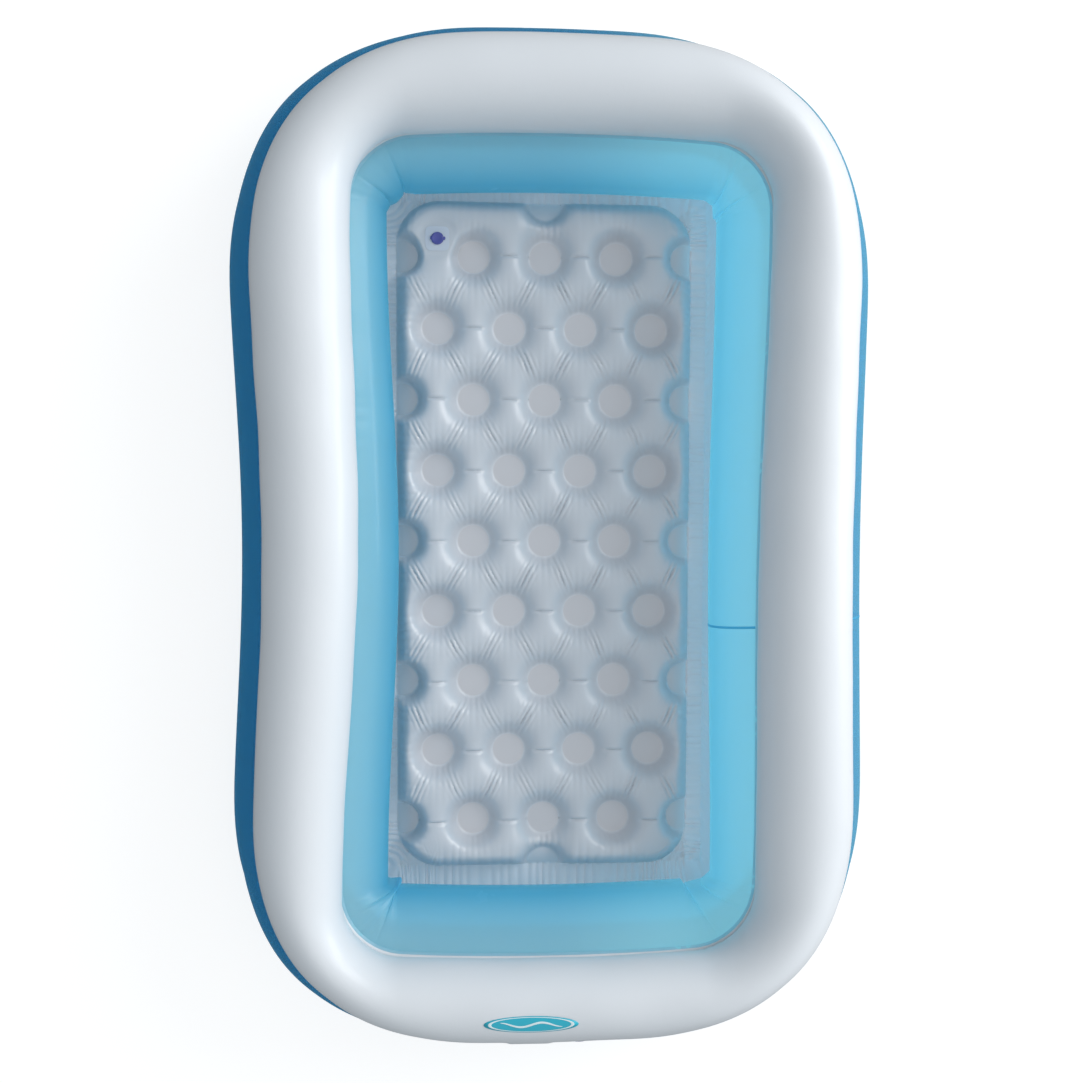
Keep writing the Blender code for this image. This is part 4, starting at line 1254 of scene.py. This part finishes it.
# %% Vinyl materials
SKIN_BUMP = 0.00012
# Reach below the blue ring's seam of the painted paler light.
PAINTED_SEAM_LIGHT_REACH = 0.060
# Strength of the blue ring's painted glow, and its span across the pool.
PAINTED_CHAMBER_GLOW = 0.60
PAINTED_GLOW_SPAN = (-0.02, 0.29)
# Heights below which the floor's film gets its painted glow.
PAINTED_LOW_GLOW = (0.022, 0.019)


def mix_shaders(tree, share, first, second):
    return add_node(tree, "ShaderNodeMixShader", {"Fac": share, 1: first, 2: second}).outputs["Shader"]


def group_colour(tree, group, sockets):
    return add_node(tree, "ShaderNodeGroup", sockets, node_tree=group).outputs["Color"]


def by_height(tree, film, seam, height, reach):
    sockets = {"Film": film, "At the seam": seam, "Seam height": height, "Reach": reach}
    return group_colour(tree, painted_light_by_height_group, sockets)


def vinyl(name, colour, roughness, cover=1.0, tint=None, glow=0.0, glow_colour=None, coat=0.0,
          coat_roughness=0.12, painted_seam_light=None, weld_colour=None, chamber=None, painted_low_glow_colour=None):
    """Vinyl film. glow is the share of light that spreads on through it, and what its cover leaves free
    passes straight through in the tint. Both count for one skin of the two that a film has here."""
    material = bpy.data.materials.new(name)
    material.use_nodes = True
    tree = material.node_tree
    skin = add_node(tree, "ShaderNodeGroup", node_tree=skin_group)
    feed(tree, skin, {"Roughness": roughness})
    bump = add_node(tree, "ShaderNodeBump", {"Distance": SKIN_BUMP, "Height": skin.outputs["Height"]})
    sockets = {"Base Color": colour, "Coat Weight": coat, "Coat Roughness": coat_roughness,
               "Roughness": skin.outputs["Roughness"], "Normal": bump.outputs["Normal"]}
    # Painted light: the film is painted paler towards its seam, by height.
    if painted_seam_light:
        sockets["Base Color"] = by_height(tree, colour, painted_seam_light, LOWER_HEIGHT, PAINTED_SEAM_LIGHT_REACH)
    if weld_colour:
        sockets["Base Color"] = group_colour(
            tree, spot_tint_group, {"Film": colour, "Weld": weld_colour, "Radius": SPOT_RADIUS})
    # Painted glow: an emission that stands in for light inside the ring, brightest on the window's side.
    if chamber:
        light, far, near = chamber
        sockets["Emission Color"] = group_colour(
            tree, painted_chamber_glow_group, {"Color": light, "Far side": far, "Window side": near,
                                     "From": PAINTED_GLOW_SPAN[0], "To": PAINTED_GLOW_SPAN[1]})
        sockets["Emission Strength"] = PAINTED_CHAMBER_GLOW
    # Painted glow: an emission that makes the film brighter where it lies low, standing in for light from
    # the ground.
    if painted_low_glow_colour:
        sockets["Emission Color"] = by_height(tree, painted_low_glow_colour, (0.0, 0.0, 0.0), *PAINTED_LOW_GLOW)
        sockets["Emission Strength"] = 1.0
    feed(tree, tree.nodes["Principled BSDF"], sockets)
    surface = tree.nodes["Principled BSDF"].outputs["BSDF"]
    if glow:
        through = add_node(tree, "ShaderNodeBsdfTranslucent", {"Color": glow_colour})
        surface = mix_shaders(tree, glow, surface, through.outputs["BSDF"])
    if tint:
        clear = add_node(tree, "ShaderNodeBsdfTransparent", {"Color": tint})
        surface = mix_shaders(tree, cover, clear.outputs["BSDF"], surface)
    feed(tree, tree.nodes["Material Output"], {"Surface": surface})
    return material


FINISHES = {
    "white_vinyl": dict(colour=(0.68, 0.70, 0.73), roughness=0.40, coat=0.08),
    # blue_vinyl carries a painted glow, brightest on the window's side.
    "blue_vinyl": dict(
        colour=(0.015, 0.20, 0.47), roughness=0.20, cover=0.35, tint=(0.62, 0.90, 0.99), glow=0.40,
        glow_colour=(0.35, 0.85, 1.0), coat=0.5, chamber=((0.83, 1.0, 0.68), 0.0, 0.44)),
    # milky_blue_vinyl carries a painted glow, brightest on the window's side, and is painted paler towards
    # its seam.
    "milky_blue_vinyl": dict(
        colour=(0.09, 0.50, 0.80), roughness=0.25, cover=0.55, tint=(0.70, 0.94, 1.0), glow=0.55,
        glow_colour=(0.55, 0.95, 1.0), coat=0.3, painted_seam_light=(0.66, 0.93, 1.0),
        chamber=((0.54, 1.0, 0.96), 0.20, 0.58)),
    # frosted_vinyl gets a painted glow where it lies low.
    "frosted_vinyl": dict(
        colour=(0.60, 0.63, 0.68), roughness=0.3, glow=0.08, glow_colour=(0.88, 0.93, 0.98), coat=1.0,
        coat_roughness=0.40, weld_colour=(0.56, 0.565, 0.60), painted_low_glow_colour=(0.10, 0.105, 0.11)),
    "clear_vinyl": dict(
        colour=(0.55, 0.82, 0.92), roughness=0.3, cover=0.6, tint=(0.8, 0.95, 1.0), glow=0.4,
        glow_colour=(0.8, 0.94, 1.0)),
    "lap_vinyl": dict(
        colour=(0.16, 0.56, 0.78), roughness=0.3, cover=0.5, tint=(0.6, 0.9, 0.98), glow=0.4,
        glow_colour=(0.3, 0.75, 0.92)),
    "teal_print": dict(colour=(0.02, 0.42, 0.55), roughness=0.35),
    "white_print": dict(colour=(0.72, 0.84, 0.86), roughness=0.35),
    "valve_clear": dict(colour=(0.70, 0.75, 0.84), roughness=0.3, glow=0.2, glow_colour=(0.8, 0.85, 0.9)),
    "valve_blue": dict(colour=(0.07, 0.08, 0.33), roughness=0.3, coat=0.2),
}
finish = {name: vinyl(name, **look) for name, look in FINISHES.items()}
print(len(finish), "materials")

# %% [markdown]
# What moves with what
#
# The films and plates are one body. The tube of each valve slides, its plug and flap turn on it, and the
# skirt, between the plate and the tube, rides on no body.

# %% Ride on the imported bodies
FILMS = (
    (upper_ring, "upper_ring_film", "white_vinyl"),
    (lower_ring, "lower_ring_film", "blue_vinyl"),
    (chamber_web, "chamber_web", "clear_vinyl"),
    (floor_top, "floor_top_film", "frosted_vinyl"),
    (floor_base, "floor_base_film", "frosted_vinyl"),
)
for thing, node, slot_name in FILMS:
    thing.data.materials.append(finish[slot_name])
    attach(thing, "pool")
    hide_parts(node)
for thing, name in ((lap_weld, "lap_vinyl"), (badge_ground, "teal_print"),
                    *((line, "white_print") for line in badge_lines)):
    thing.data.materials.append(finish[name])
    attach(thing, "pool")
lower_ring.data.materials.append(finish["milky_blue_vinyl"])

VALVE_SLOTS = {"base": "valve_clear", "skirt": "valve_clear", "stem": "valve_blue",
               "plug": "valve_blue", "flap": "valve_clear"}
for valve, made in valve_pieces.items():
    for part, piece in made.items():
        slot_name = VALVE_SLOTS[part]
        piece.data.materials.append(finish[slot_name])
        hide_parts(f"{valve}_valve_{part}")
        if part == "base":
            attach(piece, "pool")
        elif part != "skirt":
            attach(piece, f"{valve}_{part}")
    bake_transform(made["skirt"])

# %% [markdown]
# The ground
#
# The picture is a plain product shot on bright white. Paper that is truly white would throw too much light
# up into the clear films, so this paper is grey to the light, and shines white only where the camera sees
# it directly.

# %% Studio floor
STAGE_HALF, STAGE_LOW = 9.0, -0.0006
PAPER_SHINE = 0.76
PAPER = {"Base Color": (0.34, 0.34, 0.34), "Roughness": 0.9, "Specular IOR Level": 0.1}


def make_stage():
    corners = ((-1, -1), (1, -1), (1, 1), (-1, 1))
    points = np.array([(sx * STAGE_HALF, sy * STAGE_HALF, STAGE_LOW) for sx, sy in corners])
    stage = make_object("studio_floor", points, [(0, 1, 2, 3)])
    paper = bpy.data.materials.new("white_paper")
    paper.use_nodes = True
    tree = paper.node_tree
    shader = tree.nodes["Principled BSDF"]
    feed(tree, shader, PAPER)
    path = add_node(tree, "ShaderNodeLightPath").outputs
    through = math_node(tree, "MINIMUM", path["Transparent Depth"], 1.0)
    seen = math_node(tree, "MULTIPLY", path["Is Camera Ray"], math_node(tree, "SUBTRACT", 1.0, through))
    shine = {"Color": WHITE, "Strength": math_node(tree, "MULTIPLY", seen, PAPER_SHINE)}
    shine = add_node(tree, "ShaderNodeEmission", shine).outputs["Emission"]
    both = add_node(tree, "ShaderNodeAddShader", {0: shader.outputs["BSDF"], 1: shine})
    feed(tree, tree.nodes["Material Output"], {"Surface": both.outputs["Shader"]})
    stage.data.materials.append(paper)


make_stage()
print("studio floor", 2 * STAGE_HALF, "m wide")

# %% [markdown]
# Light
#
# One large soft light stands high on the right and models the pillows of the floor. A second one, low on
# the same side, is the window that shines into the blue ring. The room behind them is a gradient that
# gets brighter towards the window, which gives the coat something to reflect.

# %% Lights and room
LIGHTS = (
    ("key", (5.1, 2.9, 3.75), (0, 0, 0.1), 3.6, 225.0, (1.0, 0.99, 0.98)),
    ("window", (6.3, 0.9, 0.8), (0, 0, 0.12), 2.6, 190.0, (0.97, 0.99, 1.0)),
)
ROOM_DIM, ROOM_BRIGHT = (0.38, 0.42, 0.45), (0.76, 0.81, 0.84)
WINDOW_WAY = Vector((0.85, -0.05, 0.45))


def add_light(name, place, target, size, power, colour):
    data = bpy.data.lights.new(name, "AREA")
    data.shape, data.size, data.energy, data.color = "SQUARE", size, power, colour
    light = add_to_scene(name, data)
    light.location = place
    light.rotation_mode = "QUATERNION"
    light.rotation_quaternion = (Vector(target) - Vector(place)).to_track_quat("-Z", "Y")


def make_world():
    world = bpy.data.worlds.new("studio")
    world.use_nodes = True
    tree = world.node_tree
    sockets = {0: add_node(tree, "ShaderNodeTexCoord").outputs["Generated"], 1: WINDOW_WAY.normalized()}
    along = add_node(tree, "ShaderNodeVectorMath", sockets, operation="DOT_PRODUCT").outputs["Value"]
    share = add_node(tree, "ShaderNodeMapRange", {"Value": along, "From Min": -1.0},
                     interpolation_type="SMOOTHSTEP")
    room = mix_colours(tree, share.outputs["Result"], ROOM_DIM, ROOM_BRIGHT)
    feed(tree, tree.nodes["Background"], {"Color": room})
    bpy.context.scene.world = world


for light in LIGHTS:
    add_light(*light)
make_world()
bpy.context.scene.view_settings.view_transform = "Standard"
print(len(LIGHTS), "lights and a room")

# %% [markdown]
# Camera
#
# The picture was taken from 2.1 m above the ground, a little to the left. The place, the focal length and
# the middle of the picture were fitted to the pool's outline, the edges of the white ring and the floor.

# %% Camera
PICTURE_WIDTH, PICTURE_HEIGHT = 1091, 1083
FOCAL_PIXELS = 1217.93
AXIS_X, AXIS_Y = 544.78, 563.27
SENSOR = 36.0
CAMERA_PLACE = Vector((-0.149, 0.0676, 2.1048))
CAMERA_TARGET = Vector((-0.0172, -0.0289, 0.15))
CAMERA_ROLL = -0.0037


def make_camera():
    data = bpy.data.cameras.new("camera")
    data.sensor_width = SENSOR
    data.lens = FOCAL_PIXELS * SENSOR / PICTURE_WIDTH
    data.shift_x = (PICTURE_WIDTH / 2 - AXIS_X) / PICTURE_WIDTH
    data.shift_y = (AXIS_Y - PICTURE_HEIGHT / 2) / PICTURE_WIDTH
    camera = add_to_scene("camera", data)
    look = (CAMERA_TARGET - CAMERA_PLACE).normalized()
    up = Vector((math.sin(CAMERA_ROLL), math.cos(CAMERA_ROLL), 0))
    right = look.cross(up).normalized()
    turn = Matrix((right, right.cross(look), -look)).transposed().to_4x4()
    camera.matrix_world = Matrix.Translation(CAMERA_PLACE) @ turn
    bpy.context.scene.camera = camera


make_camera()
print("camera", round(CAMERA_PLACE.z, 3), "m above the ground")
